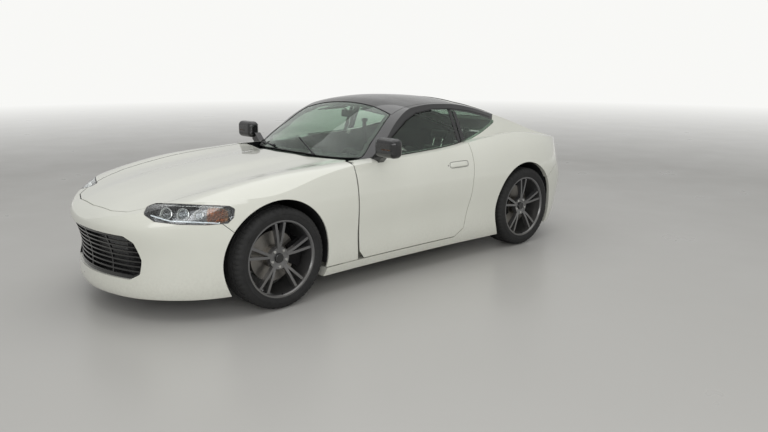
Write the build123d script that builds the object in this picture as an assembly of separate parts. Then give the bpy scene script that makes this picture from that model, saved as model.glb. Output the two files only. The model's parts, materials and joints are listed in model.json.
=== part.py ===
"""Two-seat sports coupe: front engine, rear drive, long bonnet, fastback roof and a rear hatch.

Frame: +X is the car's left side, -Y its front, +Z up. The origin is on the ground under the
middle of the car's length and width. Millimetres.

The outer skin is drawn once, as four surfaces: the waist (a closed plan outline that changes
with height), the lower body's top (bonnet, shoulders, tail deck), the cabin's sides and the
cabin's top (windscreen, roof, hatch). Every panel is cut from a wall under that skin.
"""

from build123d import *
import math
import os

# ------------------------------------------------------------------------- driving sizes
LENGTH = 4380.0
WHEELBASE = 2550.0
FRONT_OVERHANG = 955.0
BODY_WIDTH = 1848.0
ROOF_HEIGHT = 1316.0
BELT_HEIGHT = 920.0
GROUND_CLEARANCE = 140.0

TYRE_RADIUS = 343.0
TYRE_WIDTH = 250.0
RIM_RADIUS = 252.0
RIM_WIDTH = 232.0
SPOKE_PAIRS = 5
BRAKE_DISC_RADIUS = 172.0
WHEEL_INSET = 14.0  # tyre's outer face behind the widest body line
ARCH_CLEARANCE = 52.0  # tyre tread to wheel arch lip

PANEL_GAP = 4.0  # between fixed panels
DOOR_GAP = 6.0  # round a panel that moves
DOOR_NOSE_GAP = 9.0  # ahead of a door, whose front edge swings inwards
SEAL_GAP = 0.4  # between a glass and its seat
BEARING_GAP = 0.3  # round a pin or shaft that turns

DOOR_WALL = 90.0
SIDE_WALL = 40.0
FENDER_WALL = 12.0
BUMPER_WALL = 26.0
BONNET_WALL = 22.0
TAILGATE_WALL = 26.0
ROOF_WALL = 30.0
PILLAR_WALL = 44.0
GLASS = 5.0
LINER = 8.0  # wheel housing
DOOR_SKIN = 6.0  # the thin edge of a door, ahead of its hinges

DOOR_NOSE = 80.0  # door's front edge to its hinge axis
HINGE_BARREL = 7.0
HINGE_PIN = 4.0
HINGE_DEPTH = 18.0  # hinge axis below the skin

PLATE_SPACING = 240.0  # number-plate screws, front and rear
PLATE_HOLE = 3.0  # their holes' radius
PLATE_FRONT_Z = 214.0
PLATE_REAR_Z = 560.0

# ------------------------------------------------------------------------- landmarks
NOSE_Y = -LENGTH / 2
TAIL_Y = LENGTH / 2
FRONT_AXLE_Y = NOSE_Y + FRONT_OVERHANG
REAR_AXLE_Y = FRONT_AXLE_Y + WHEELBASE
HALF_WIDTH = BODY_WIDTH / 2
ARCH_RADIUS = TYRE_RADIUS + ARCH_CLEARANCE
WHEEL_X = HALF_WIDTH - WHEEL_INSET - TYRE_WIDTH / 2
FAR = 3000.0

# The curves below are drawn on a body with these marks, and stretched to the driving sizes.
DRAWN_ALONG = (-2190.0, -1235.0, 1315.0, 2190.0)
DRAWN_UP = (140.0, 920.0, 1316.0)
DRAWN_HALF_WIDTH = 924.0

HATCH_NOSE_RADIUS = 50.0  # hinge axis to the hatch's front edge
LEAF = 7.0  # thickness of one fixed hinge leaf
BARREL_LENGTH = 16.0
STUB_RADIUS = 24.0
ROTOR = (-22.0, 2.0)  # brake rotor's faces, from the wheel's middle plane outwards
FACE_SEAT = 46.0  # wheel's mounting face, from its middle plane outwards
BARREL_WALL = 9.0
BOLT_CIRCLE = 57.15
BOLT_COUNT = 5
STUB_LENGTH = 88.0
PIVOT_X = -60.0  # steering axis, from the wheel's middle plane outwards
PIVOT_RISE = 122.0  # end of the upright's bar above the axle
EYE = (126.0, 156.0)  # suspension eyes, from the axle
EYE_RADIUS = 18.0
PIVOT_PIN = 8.0
CALIPER_GAP = 5.0
BODY_BOTTOM = 146.0  # drawn height of the white panels' lower edge
DOOR_BOTTOM = 212.0
HATCH_LIP = 868.0  # drawn height of the hatch's lower edge at the tail
POWER_BULGE = 16.0
CABIN_LEAN = 0.43  # how far the side glass leans in, per unit of height above the belt
GLASS_SPLIT = 652.0  # joint between door glass and quarter window, drawn y
LAMP_AIM = (0.62, -0.74, 0.26)  # the way a headlamp faces
LAMP_PLACE = (710.0, -1780.0, 690.0)
WHEEL_AIM = (0.0, 0.92, 0.39)  # the steering column, towards the driver
COLUMN_PLACE = (370.0, -150.0, 760.0)


def stretched(value, drawn, real):
    """Carries a drawn place to its real one, span by span between the marks."""
    last = len(drawn) - 2
    span = sum(1 for mark in drawn[1:-1] if value > mark)
    span = min(span, last)
    share = (value - drawn[span]) / (drawn[span + 1] - drawn[span])
    return real[span] + share * (real[span + 1] - real[span])


def along(y):
    return stretched(y, DRAWN_ALONG, (NOSE_Y, FRONT_AXLE_Y, REAR_AXLE_Y, TAIL_Y))


def up(z):
    return stretched(z, DRAWN_UP, (GROUND_CLEARANCE, BELT_HEIGHT, ROOF_HEIGHT))


def across(x):
    return x * HALF_WIDTH / DRAWN_HALF_WIDTH


def curve(points):
    """A smooth function through (place, value) points that never overshoots them."""
    places = [p for p, _ in points]
    values = [v for _, v in points]
    last = len(points) - 1
    steps = [places[i + 1] - places[i] for i in range(last)]
    slopes = [(values[i + 1] - values[i]) / steps[i] for i in range(last)]
    tangents = [slopes[0]]
    for before, after, step_in, step_out in zip(slopes, slopes[1:], steps, steps[1:]):
        if before * after <= 0:
            tangents.append(0.0)
        else:
            near, far = 2 * step_out + step_in, step_out + 2 * step_in
            tangents.append((near + far) / (near / before + far / after))
    tangents.append(slopes[-1])

    def value_at(place):
        if place <= places[0]:
            return values[0] + tangents[0] * (place - places[0])
        if place >= places[-1]:
            return values[-1] + tangents[-1] * (place - places[-1])
        i = next(k for k in range(last) if place <= places[k + 1])
        t = (place - places[i]) / steps[i]
        rise = 3 * t**2 - 2 * t**3
        return (
            values[i] * (1 - rise)
            + values[i + 1] * rise
            + steps[i] * (tangents[i] * (t**3 - 2 * t**2 + t) + tangents[i + 1] * (t**3 - t**2))
        )

    return value_at


def ease(value, start, end):
    """0 before start, 1 after end, and smooth between."""
    t = max(0.0, min(1.0, (value - start) / (end - start)))
    return t * t * (3 - 2 * t)


def bump(value, centre, spread):
    return math.exp(-(((value - centre) / spread) ** 2))


# ------------------------------------------------------------------------- the waist
PLAN = [  # half outline at the widest height, from nose to tail: (x, y)
    (0, -2190),
    (300, -2150),
    (525, -2052),
    (696, -1896),
    (812, -1712),
    (880, -1490),
    (914, -1235),
    (902, -900),
    (886, -500),
    (884, 0),
    (894, 500),
    (916, 950),
    (924, 1315),
    (904, 1630),
    (848, 1870),
    (726, 2044),
    (500, 2140),
    (250, 2180),
    (0, 2190),
]
WAIST_LEVELS = (100, 180, 270, 370, 480, 580, 690, 790, 880, 960, 1040)
SIDE_INSET = curve(
    [(100, 60), (140, 40), (215, 14), (330, 14), (450, 6), (580, 0), (690, 4), (790, 22),
        (880, 56), (960, 110), (1040, 190)]
)
NOSE_SETBACK = curve([
    (100, 95), (140, 52), (200, 28), (330, 46), (450, 34), (560, 4), (620, 0), (700, 60),
    (800, 190), (1040, 520),
])
TAIL_SETBACK = curve([
    (100, 230), (180, 150), (330, 52), (450, 6), (540, 0), (650, 26), (690, 58), (790, 78),
    (860, 70), (940, 30), (1040, 30),
])


def waist_outline(z, inset):
    """The closed plan outline at drawn height z, drawn in by inset: (x, y) in real places."""
    half = []
    for x, y in PLAN:
        share = x / DRAWN_HALF_WIDTH
        hollow = 16 * bump(z, 420, 120) * bump(y, 60, 620)
        width = across(x - share * (SIDE_INSET(z) + hollow)) - share * inset
        to_nose = ease(-y, 1500, 2190)
        to_tail = ease(y, 1600, 2190)
        place = along(y + to_nose * NOSE_SETBACK(z) - to_tail * TAIL_SETBACK(z))
        half.append((width, place + (to_nose - to_tail) * inset))
    back = [(x, y) for x, y in reversed(half[:-1])]
    return [half[-1]] + back + [(-x, y) for x, y in half[1:-1]]


def waist(inset):
    """The body below its top surface, as one solid whose sides are inset from the skin."""
    rings = []
    for z in WAIST_LEVELS:
        points = [Vector(x, y, up(z)) for x, y in waist_outline(z, inset)]
        places = [float(i) for i in range(len(points) + 1)]
        rings.append(Wire([Edge.make_spline(points, periodic=True, parameters=places)]))
    return Solid.make_loft(rings)


# ------------------------------------------------------------------------- the top surfaces
BONNET_LINE = curve(
    [
        (-2400, 470),
        (-2190, 618),
        (-2110, 676),
        (-1960, 738),
        (-1700, 798),
        (-1400, 842),
        (-1100, 872),
        (-800, 896),
        (-500, 912),
        (0, 918),
        (500, 934),
        (900, 956),
        (1300, 966),
        (1700, 948),
        (1950, 916),
        (2100, 896),
        (2190, 888),
        (2400, 876),
    ]
)
CREST = curve([
    (-2400, 0), (-2050, 6), (-1700, 34), (-1235, 50), (-700, 26), (-300, 16), (300, 18), (900, 42),
    (1315, 52), (1750, 26), (2190, 0),
])
CREST_X = curve([
    (-2400, 560), (-2000, 640), (-1600, 725), (-1235, 755), (-600, 765), (300, 775), (1315, 790),
    (1800, 740), (2190, 660),
])
SIDE_FALL = curve([
    (-2400, 80), (-2000, 62), (-1235, 48), (-500, 30), (500, 24), (1315, 30), (1900, 40),
    (2400, 50),
])


def body_top(x, y):
    """Drawn height of the bonnet, the shoulders and the tail deck."""
    side = abs(x)
    fall = SIDE_FALL(y) * (side / 800) ** 2 + 210 * max(0.0, side / 860 - 0.9) ** 2 * 10
    crest = CREST(y) * bump(side, CREST_X(y), 150)
    bulge = POWER_BULGE * (1 - ease(side, 190, 330)) * bump(y, -1250, 620)
    return BONNET_LINE(y) - fall + crest + bulge


CABIN_LINE = curve(
    [
        (-1100, 590),
        (-760, 806),
        (-600, 902),
        (-350, 1050),
        (-100, 1188),
        (60, 1262),
        (230, 1304),
        (430, 1316),
        (650, 1308),
        (900, 1278),
        (1200, 1212),
        (1500, 1124),
        (1800, 1022),
        (2000, 954),
        (2120, 918),
        (2190, 900),
        (2400, 850),
    ]
)
CABIN_FALL = curve([
    (-1100, 130), (-600, 120), (-100, 84), (200, 58), (600, 56), (1200, 72), (1700, 66), (2190, 30),
])


def cabin_top(x, y):
    """Drawn height of the windscreen, the roof and the hatch."""
    return CABIN_LINE(y) - CABIN_FALL(y) * (abs(x) / 600) ** 2.2


CABIN_HALF_WIDTH = curve([
    (-1100, 690), (-500, 742), (0, 764), (500, 762), (900, 730), (1300, 664), (1700, 606),
    (2000, 590), (2400, 590),
])


def cabin_side(y, z):
    """Drawn half width of the cabin."""
    over = z - DRAWN_UP[1]
    return CABIN_HALF_WIDTH(y) - CABIN_LEAN * over - 0.00016 * over * over


def spread(low, high, count):
    return [low + (high - low) * i / (count - 1) for i in range(count)]


def top_face(height, first_y, last_y, half, rows, drop):
    points = []
    for x in spread(-half, half, 25):
        points.append([Vector(across(x), along(y), up(height(x, y))
            - drop) for y in spread(first_y, last_y, rows)])
    return Face.make_surface_from_array_of_points(points)


def under_body_top(drop):
    return Solid.extrude(top_face(body_top, -2400, 2400, 1000, 41, drop), Vector(0, 0, -2000))


def under_cabin_top(drop):
    return Solid.extrude(top_face(cabin_top, -1000, 2400, 900, 35, drop), Vector(0, 0, -2000))


def inside_cabin_side(inset):
    """Everything between the cabin's two side surfaces."""
    points = []
    for y in spread(-1000, 2400, 25):
        points.append([Vector(across(cabin_side(y, z)) - inset, along(y),
            up(z)) for z in spread(780, 1420, 9)])
    left = Solid.extrude(Face.make_surface_from_array_of_points(points), Vector(-FAR, 0, 0))
    return left & mirror(left, about=Plane.YZ)


_skins = {}


def body(inset):
    """The lower body, drawn in by inset on its sides and its top."""
    if ("body", inset) not in _skins:
        _skins["body", inset] = waist(inset) & under_body_top(inset)
    return _skins["body", inset]


def cabin(inset):
    """The cabin above and below the belt, drawn in by inset on its sides and its top."""
    if ("cabin", inset) not in _skins:
        behind = block((-FAR, FAR), (along(1600), FAR), (up(600), up(1035))) - waist(inset)
        _skins["cabin", inset] = inside_cabin_side(inset) & under_cabin_top(inset * 1.15) - behind
    return _skins["cabin", inset]


# ------------------------------------------------------------------------- cutting tools
def block(x, y, z):
    """A box from (low, high) pairs."""
    size = [abs(b - a) for a, b in (x, y, z)]
    middle = [(a + b) / 2 for a, b in (x, y, z)]
    return Pos(*middle) * Box(*size)


def both(shape):
    return shape + mirror(shape, about=Plane.YZ)


def outline_face(points, radius, plane, grow=0.0):
    """A closed outline with rounded corners, on a plane, grown by a clearance."""
    line = FilletPolyline(*points, radius=radius, close=True) if radius else Polyline(*points, close=True)
    face = make_face(line)
    if grow:
        face = offset(face, amount=grow, kind=Kind.ARC)
    return plane * face


def side_prism(points, radius=0, near=0.0, far=FAR, grow=0.0):
    """A drawn (y, z) outline, carried across the car from x = near to x = far."""
    placed = [(along(y), up(z)) for y, z in points]
    plane = Plane(origin=(near, 0, 0), x_dir=(0, 1, 0), z_dir=(1, 0, 0))
    return extrude(outline_face(placed, radius, plane, grow), far - near)


def plan_prism(points, radius=0, low=-FAR, high=FAR, grow=0.0):
    """A drawn (x, y) outline, carried up through the car from z = low to z = high."""
    placed = [(across(x), along(y)) for x, y in points]
    return extrude(outline_face(placed, radius, Plane.XY.offset(low), grow), high - low)


def end_prism(points, radius=0, near=0.0, far=FAR, grow=0.0):
    """A drawn (x, z) outline, carried along the car from y = near to y = far."""
    placed = [(across(x), up(z)) for x, z in points]
    plane = Plane(origin=(0, near, 0), x_dir=(1, 0, 0), z_dir=(0, -1, 0))
    return extrude(outline_face(placed, radius, plane, grow), near - far)


def mirrored_outline(half):
    """A full outline from its left half, which runs from the centre line back to it."""
    return half + [(-x, y) for x, y in reversed(half) if x > 1]


def skin_x(y, z):
    """Real half width of the waist at a real y, at drawn height z."""
    half = sorted((p, x) for x, p in waist_outline(z, 0.0) if x >= 0)
    return curve(half)(y)


def rod(start, end, radius):
    """A round bar between two points."""
    a, b = Vector(*start), Vector(*end)
    return Plane(origin=a, z_dir=b - a) * Cylinder(radius, (b - a).length,
        align=(Align.CENTER, Align.CENTER, Align.MIN))


def wheel_space(y, inner_x, outer_x=FAR, grow=0.0):
    """The round space that a wheel turns and steers in, on the left side."""
    return Pos(inner_x, y, TYRE_RADIUS) * Rot(0, 90, 0) * Cylinder(
        ARCH_RADIUS + grow, outer_x - inner_x, align=(Align.CENTER, Align.CENTER, Align.MIN)
    )


# ------------------------------------------------------------------------- panel outlines
# Side views are drawn (y, z), plan views are the left half (x, y), end views the left half (x, z).
DOOR_LINE = [
    (-562, 1100), (-560, 560), (-552, 268), (-510, 212), (440, 212), (545, 270), (620, 540),
    (656, 780), (668, 1100),
]
BONNET_HALF = [
    (0, -2096),
    (260, -2080),
    (400, -2036),
    (478, -1960),
    (566, -1800),
    (622, -1620),
    (664, -1235),
    (692, -700),
    (696, -520),
    (560, -530),
    (300, -622),
    (0, -656),
]
SCREEN_HALF = [(0, -640), (300, -606), (540, -500), (662, -398), (668, -330), (552, 36), (300, 64), (0, 74)]
ROOF_HALF = [(0, 80), (300, 70), (556, 42), (566, 300), (556, 600), (536, 783), (0, 783)]
HATCH_HALF = [(0, 700), (530, 700), (520, 1200), (508, 1700), (516, 1960), (540, 2400), (0, 2400)]
REAR_GLASS_HALF = [(0, 860), (462, 852), (444, 1200), (404, 1600), (300, 1668), (0, 1690)]
WINDOW_LINE = [
    (-252, 890),
    (-234, 948),
    (-60, 1052),
    (100, 1142),
    (230, 1190),
    (430, 1210),
    (650, 1204),
    (900, 1170),
    (1090, 1128),
    (1190, 1100),
    (1220, 1082),
    (1204, 1066),
    (1120, 1042),
    (960, 1000),
    (800, 964),
    (652, 946),
    (210, 925),
    (-200, 902),
]
SAIL_LINE = [(700, 880), (800, 990), (1000, 1060), (1200, 1092), (1320, 1240), (2500, 1240), (2500, 880)]
BUMPER_LINE = [
    (-2500, 40), (-1470, 40), (-1470, 420), (-1560, 566), (-1640, 640), (-1800, 690), (-1930, 760),
    (-1960, 900), (-2500, 900),
]
REAR_BUMPER_LINE = [
    (1560, 40), (1560, 420), (1640, 566), (1760, 640), (1900, 690), (2100, 734), (2500, 736),
    (2500, 40),
]
GRILLE_HALF = [(0, 566), (440, 556), (496, 516), (514, 400), (496, 306), (430, 268), (0, 262)]
TAIL_BAND_HALF = [(0, 860), (700, 850), (786, 842), (786, 770), (700, 744), (0, 744)]
TAIL_LAMP_LINE = [(296, 840), (700, 832), (760, 826), (760, 786), (700, 766), (296, 766)]

LAMP_LINE = [
    (-282, 42),
    (-262, -10),
    (-190, -50),
    (-40, -62),
    (120, -58),
    (226, -42),
    (256, -6),
    (262, 46),
    (236, 60),
    (60, 58),
    (-120, 62),
    (-240, 62),
]


def lamp_prism(grow=0.0):
    """The headlamp's outline, carried through the left front corner along its own aim."""
    x, y, z = LAMP_PLACE
    level = Vector(0, 0, 1).cross(Vector(*LAMP_AIM)).normalized()
    plane = Plane(origin=(across(x), along(y), up(z)), x_dir=level, z_dir=LAMP_AIM)
    return extrude(outline_face(LAMP_LINE, 10, plane, grow), 400, both=True)


def bonnet_prism(grow=0.0):
    return plan_prism(mirrored_outline(BONNET_HALF), 20, up(600), FAR, grow)


def screen_prism(grow=0.0):
    return plan_prism(mirrored_outline(SCREEN_HALF), 14, up(700), FAR, grow)


def roof_prism(grow=0.0):
    return plan_prism(mirrored_outline(ROOF_HALF), 0, up(1000), FAR, grow)


def hatch_prism(grow=0.0):
    return plan_prism(mirrored_outline(HATCH_HALF), 0, up(HATCH_LIP) - grow, FAR, grow)


def rear_glass_prism(grow=0.0):
    return plan_prism(mirrored_outline(REAR_GLASS_HALF), 30, up(900), FAR, grow)


def window_prism(first_y, last_y, grow=0.0):
    """The side window opening between two drawn stations, on the left."""
    strip = block((0, FAR), (along(first_y), along(last_y)), (0, FAR))
    return side_prism(WINDOW_LINE, 0, 300.0, FAR, grow) & strip


def door_prism(grow=0.0):
    return side_prism(DOOR_LINE, 0, 300.0, FAR, grow)


def drawn_block(x, y, z):
    """A box whose corners are drawn places."""
    return block([across(v) for v in x], [along(v) for v in y], [up(v) for v in z])


def largest(shape):
    """The biggest solid of a cut, without the slivers beside it."""
    return max(shape.solids(), key=lambda solid: solid.volume)


def hull(inset):
    """The whole outer body, drawn in by inset."""
    if ("hull", inset) not in _skins:
        _skins["hull", inset] = body(inset) + cabin(inset)
    return _skins["hull", inset]


# ------------------------------------------------------------------------- hinges
DOOR_AXIS_Y = along(-562) + DOOR_NOSE
DOOR_AXIS_X = min(skin_x(DOOR_AXIS_Y, 480), skin_x(DOOR_AXIS_Y, 640)) - HINGE_DEPTH + 2
DOOR_HINGE_LEVELS = (up(480), up(640))
BONNET_HINGE_X = across(600)
BONNET_AXIS_Y = along(-530) - 22
BONNET_AXIS_Z = up(body_top(600, -552)) - HINGE_DEPTH
HATCH_HINGE_X = across(400)
HATCH_AXIS_Y = along(761) + 22
HATCH_AXIS_Z = up(cabin_top(400, 783)) - HINGE_DEPTH


def door_pins():
    """The fixed leaves and pins of the left door's two hinges."""
    parts = []
    for z in DOOR_HINGE_LEVELS:
        pin = Cylinder(HINGE_PIN, BARREL_LENGTH + 2 * LEAF + 10)
        for side in (-1, 1):
            middle = side * (BARREL_LENGTH / 2 + 5 + LEAF / 2)
            leaf = Cylinder(5, LEAF) + block((-130, 0), (-5, 5), (-LEAF / 2, LEAF / 2))
            pin += Pos(0, 0, middle) * leaf
        parts.append(Pos(DOOR_AXIS_X, DOOR_AXIS_Y, z) * pin)
    return parts


def door_barrels():
    """The moving halves of the left door's hinges."""
    parts = []
    for z in DOOR_HINGE_LEVELS:
        barrel = Cylinder(HINGE_BARREL, BARREL_LENGTH) + block((-6, 6), (2, 16),
            (-BARREL_LENGTH / 2, BARREL_LENGTH / 2))
        parts.append(Pos(DOOR_AXIS_X, DOOR_AXIS_Y, z)
            * (barrel - Cylinder(HINGE_PIN + BEARING_GAP, BARREL_LENGTH + 2)))
    return parts


def cross_barrel(rise):
    """A barrel on an axis across the car, with a web up to the panel above it."""
    barrel = Rot(0, 90, 0) * Cylinder(HINGE_BARREL, BARREL_LENGTH)
    barrel += block((-BARREL_LENGTH / 2, BARREL_LENGTH / 2), (-5, 5), (0, rise))
    return barrel - Rot(0, 90, 0) * Cylinder(HINGE_PIN + BEARING_GAP, BARREL_LENGTH + 2)


def cross_pin(outline):
    """A fixed pin on an axis across the car, on two leaves of the given (y, z) outline."""
    reach = BARREL_LENGTH / 2 + 5
    pin = Rot(0, 90, 0) * Cylinder(HINGE_PIN, 2 * (reach + LEAF))
    plane = Plane(origin=(0, 0, 0), x_dir=(0, 1, 0), z_dir=(1, 0, 0))
    leaf = extrude(plane * make_face(Polyline(*outline, close=True)), LEAF)
    leaf += Pos(LEAF / 2, 0, 0) * Rot(0, 90, 0) * Cylinder(6, LEAF)
    return pin + Pos(reach, 0, 0) * leaf + Pos(-reach - LEAF, 0, 0) * leaf


# ------------------------------------------------------------------------- outer panels
def make_bonnet():
    panel = (body(0.0) - body(BONNET_WALL)) & bonnet_prism()
    panel -= both(lamp_prism(DOOR_GAP))
    place = Pos(BONNET_HINGE_X, BONNET_AXIS_Y, BONNET_AXIS_Z)
    pocket = place * block((-26, 26), (-46, 60), (-60, 60)) & body(DOOR_SKIN)
    panel -= both(pocket)
    barrel = place * cross_barrel(HINGE_DEPTH - DOOR_SKIN / 2) & body(DOOR_SKIN / 2)
    return panel + both(barrel)


def plate_holes(z, near, far):
    """Two screw holes along the car, between two stations."""
    hole = Rot(90, 0, 0) * Cylinder(PLATE_HOLE, abs(far - near))
    middle = (near + far) / 2
    return Pos(PLATE_SPACING / 2, middle, z) * hole + Pos(-PLATE_SPACING / 2, middle, z) * hole


def make_front_bumper():
    wall = (body(0.0) - body(BUMPER_WALL)) & side_prism(BUMPER_LINE, 0, -FAR, FAR)
    wall -= block((-FAR, FAR), (-FAR, FAR), (0, up(BODY_BOTTOM)))
    wall -= bonnet_prism(DOOR_GAP)
    wall -= both(lamp_prism(PANEL_GAP))
    wall -= end_prism(mirrored_outline(GRILLE_HALF), 24, -FAR, along(-1700))
    wall -= both(wheel_space(FRONT_AXLE_Y, across(430)))
    wall -= plate_holes(PLATE_FRONT_Z, NOSE_Y - 50, along(-1950))
    return wall - drawn_block((-560, 560), (-1900, 2400), (0, 1400))


def make_fender():
    wall = (body(0.0) - body(FENDER_WALL)) & block((across(430), FAR),
        (along(-2080), along(-562) - DOOR_NOSE_GAP), (up(DOOR_BOTTOM), FAR))
    wall -= side_prism(BUMPER_LINE, 0, -FAR, FAR, PANEL_GAP)
    wall -= plan_prism(mirrored_outline(BONNET_HALF), 20, up(300), FAR, DOOR_GAP)
    wall -= lamp_prism(PANEL_GAP)
    return wall - wheel_space(FRONT_AXLE_Y, across(430))


def make_headlamp():
    lamp = (body(0.0) - body(60.0)) & lamp_prism() & block((across(300), FAR), (-FAR, FAR), (0, FAR))
    return lamp - wheel_space(FRONT_AXLE_Y, across(430))


def make_grille():
    """A recessed panel of slats between the bumper's edges, behind its face."""
    frame = (body(16.0) - body(BUMPER_WALL)) & end_prism(mirrored_outline(GRILLE_HALF), 24, -FAR,
        along(-1900), -BEARING_GAP)
    hole = end_prism(mirrored_outline(GRILLE_HALF), 14, -FAR, along(-1900), -16)
    slats = []
    for level in spread(up(286), up(542), 9):
        slats.append(block((-FAR, FAR), (-FAR, 0), (level - 5, level + 5)))
    for x in (-across(260), 0.0, across(260)):
        slats.append(block((x - 5, x + 5), (-FAR, 0), (0, FAR)))
    return frame - (hole - Compound(slats))


def make_screen():
    return largest((cabin(0.0) & screen_prism()) - cabin(GLASS) - body(-SEAL_GAP))


def hatch_nose(radius):
    """A cylinder about the hatch's hinge axis, which the panels' meeting edges follow."""
    return Pos(0, HATCH_AXIS_Y, HATCH_AXIS_Z) * Rot(0, 90, 0) * Cylinder(radius, 2 * FAR)


def make_roof():
    panel = (cabin(0.0) - cabin(ROOF_WALL)) & roof_prism() & block((-FAR, FAR),
        (-FAR, HATCH_AXIS_Y), (0, FAR))
    panel -= hatch_nose(HATCH_NOSE_RADIUS + DOOR_GAP)
    place = Pos(HATCH_HINGE_X, HATCH_AXIS_Y, HATCH_AXIS_Z)
    neck = [(-78, 14), (-78, -50), (6, -50), (6, 0), (-6, 0), (-6, -38), (-66, -38), (-66, 14)]
    arm = place * cross_pin(neck)
    arm -= cabin(0.0) & roof_prism() - cabin(ROOF_WALL)
    return panel + both(arm & cabin(ROOF_WALL / 2))


def make_hatch():
    panel = (cabin(0.0) & hatch_prism()) - cabin(TAILGATE_WALL)
    panel -= block((-FAR, FAR), (-FAR, HATCH_AXIS_Y), (0, FAR)) - hatch_nose(HATCH_NOSE_RADIUS)
    panel -= rear_glass_prism(SEAL_GAP)
    place = Pos(HATCH_HINGE_X, HATCH_AXIS_Y, HATCH_AXIS_Z)
    pocket = place * block((-26, 26), (-60, 40), (-70, 60)) & cabin(DOOR_SKIN)
    panel -= both(pocket)
    barrel = place * cross_barrel(HINGE_DEPTH - DOOR_SKIN / 2) & cabin(DOOR_SKIN / 2)
    return panel + both(barrel)


def make_rear_glass():
    return (cabin(0.0) & rear_glass_prism()) - cabin(GLASS)


def make_roof_rail():
    """The left windscreen pillar, the rail over the door and the post behind the door glass."""
    room = drawn_block((490, 1400), (-500, 1330), (905, 1400))
    room -= screen_prism(SEAL_GAP)
    room -= hatch_prism(DOOR_GAP)
    room -= window_prism(-700, GLASS_SPLIT - 4, DOOR_GAP)
    room -= window_prism(GLASS_SPLIT + 36, 1400, SEAL_GAP)
    room -= drawn_block((300, 1400), (-262, 700), (800, 960))
    room -= side_prism(SAIL_LINE, 0, 0.0, FAR, SEAL_GAP)
    rail = (cabin(0.0) & room) - cabin(PILLAR_WALL)
    rail -= roof_prism(PANEL_GAP) - cabin(ROOF_WALL + BEARING_GAP)
    rail -= body(-DOOR_GAP)
    rail -= window_prism(GLASS_SPLIT - 40, 1400, SEAL_GAP) - cabin(GLASS + SEAL_GAP)
    foot = (cabin(0.0) & drawn_block((640, 760), (-496, -300), (822, 1000))) - cabin(100.0)
    foot -= screen_prism(SEAL_GAP)
    foot -= waist(0.0) - waist(DOOR_WALL + DOOR_GAP)
    return largest(rail + foot)


def make_quarter_window():
    pane = (cabin(0.0) & window_prism(GLASS_SPLIT, 1400)) - cabin(GLASS)
    return pane - body(-SEAL_GAP)


def make_body_side():
    """The left sill, hinge pillar, rear quarter and roof quarter: the fixed side of the body."""
    quarter = (hull(0.0) - hull(SIDE_WALL)) & block((0, FAR), (along(430), FAR), (up(BODY_BOTTOM), FAR))
    upper = side_prism(SAIL_LINE, 0) + drawn_block((0, 1400), (300, 2400), (0, 905)) + body(0.0)
    quarter &= upper
    quarter -= door_prism(DOOR_GAP)
    quarter -= hatch_prism(DOOR_GAP)
    quarter -= window_prism(0, 1400, SEAL_GAP)
    quarter -= side_prism(REAR_BUMPER_LINE, 0, 0.0, FAR, PANEL_GAP)
    quarter -= end_prism(mirrored_outline(TAIL_BAND_HALF), 0, FAR, along(1990), PANEL_GAP)
    quarter -= drawn_block((0, 420), (1900, 2400), (0, 1400))
    quarter -= wheel_space(REAR_AXLE_Y, across(600))

    sill = body(0.0) & drawn_block((690.3, 1400), (-880, 1000), (BODY_BOTTOM, DOOR_BOTTOM - 7))
    sill += drawn_block((690.3, 764), (-860, 940), (BODY_BOTTOM, 330))
    sill -= wheel_space(FRONT_AXLE_Y, across(430), FAR, LINER + SEAL_GAP)
    sill -= wheel_space(REAR_AXLE_Y, across(600), FAR, LINER + SEAL_GAP)

    post = (waist(FENDER_WALL + BEARING_GAP) - waist(150.0)) & block(
        (across(400), FAR), (along(-700), along(-562) - DOOR_NOSE_GAP), (up(160), up(800))
    )
    inner = (waist(DOOR_WALL + 20) - waist(150.0)) & block(
        (across(400), FAR), (along(-640), DOOR_AXIS_Y + 6), (up(160), up(800))
    )
    rear_post = (waist(DOOR_WALL + DOOR_GAP) - waist(150.0)) & block(
        (across(400), FAR), (DOOR_AXIS_Y + 5, along(-300)), (up(160), up(822) - BEARING_GAP)
    )
    post = post + inner - wheel_space(FRONT_AXLE_Y, across(430), FAR, LINER + SEAL_GAP) + rear_post
    side = quarter + sill + post
    for pin in door_pins():
        side += pin
    return side


def make_door():
    whole = body(0.0) & door_prism() - waist(25.0)
    inner = body(0.0) & door_prism(-25.0) - waist(DOOR_WALL)
    door = whole + inner
    nose = block((0, FAR), (-FAR, DOOR_AXIS_Y + 13), (-FAR, FAR))
    door -= nose & body(DOOR_SKIN)
    slot = cabin(-SEAL_GAP) - cabin(GLASS + SEAL_GAP)
    door -= slot & drawn_block((300, 1400), (-290, 700), (880, 1000))
    for barrel in door_barrels():
        door += barrel
    return door


def make_door_glass():
    edge = window_prism(-300, GLASS_SPLIT - 6)
    below = drawn_block((300, 1400), (-240, GLASS_SPLIT - 20), (884, 960))
    return largest(cabin(0.0) & (edge + below) - cabin(GLASS))


def make_mirror():
    """The left door mirror: a rounded shell on a short foot."""
    middle = Pos(across(936), along(-332), up(1000))
    head = middle * fillet(Box(214, 104, 140).edges(), 40)
    head -= middle * Pos(-4, 56, 0) * fillet(Box(176, 24, 104).edges().filter_by(Axis.Y), 30)
    foot = Plane(origin=(across(792), along(-310), up(896)), z_dir=(0.72, 0.0, 0.69)) * Box(70, 56, 150)
    mirror_body = head + foot & block((across(740), FAR), (-FAR, FAR), (up(860), FAR))
    return mirror_body - body(-BEARING_GAP) - cabin(-DOOR_GAP)


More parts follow.
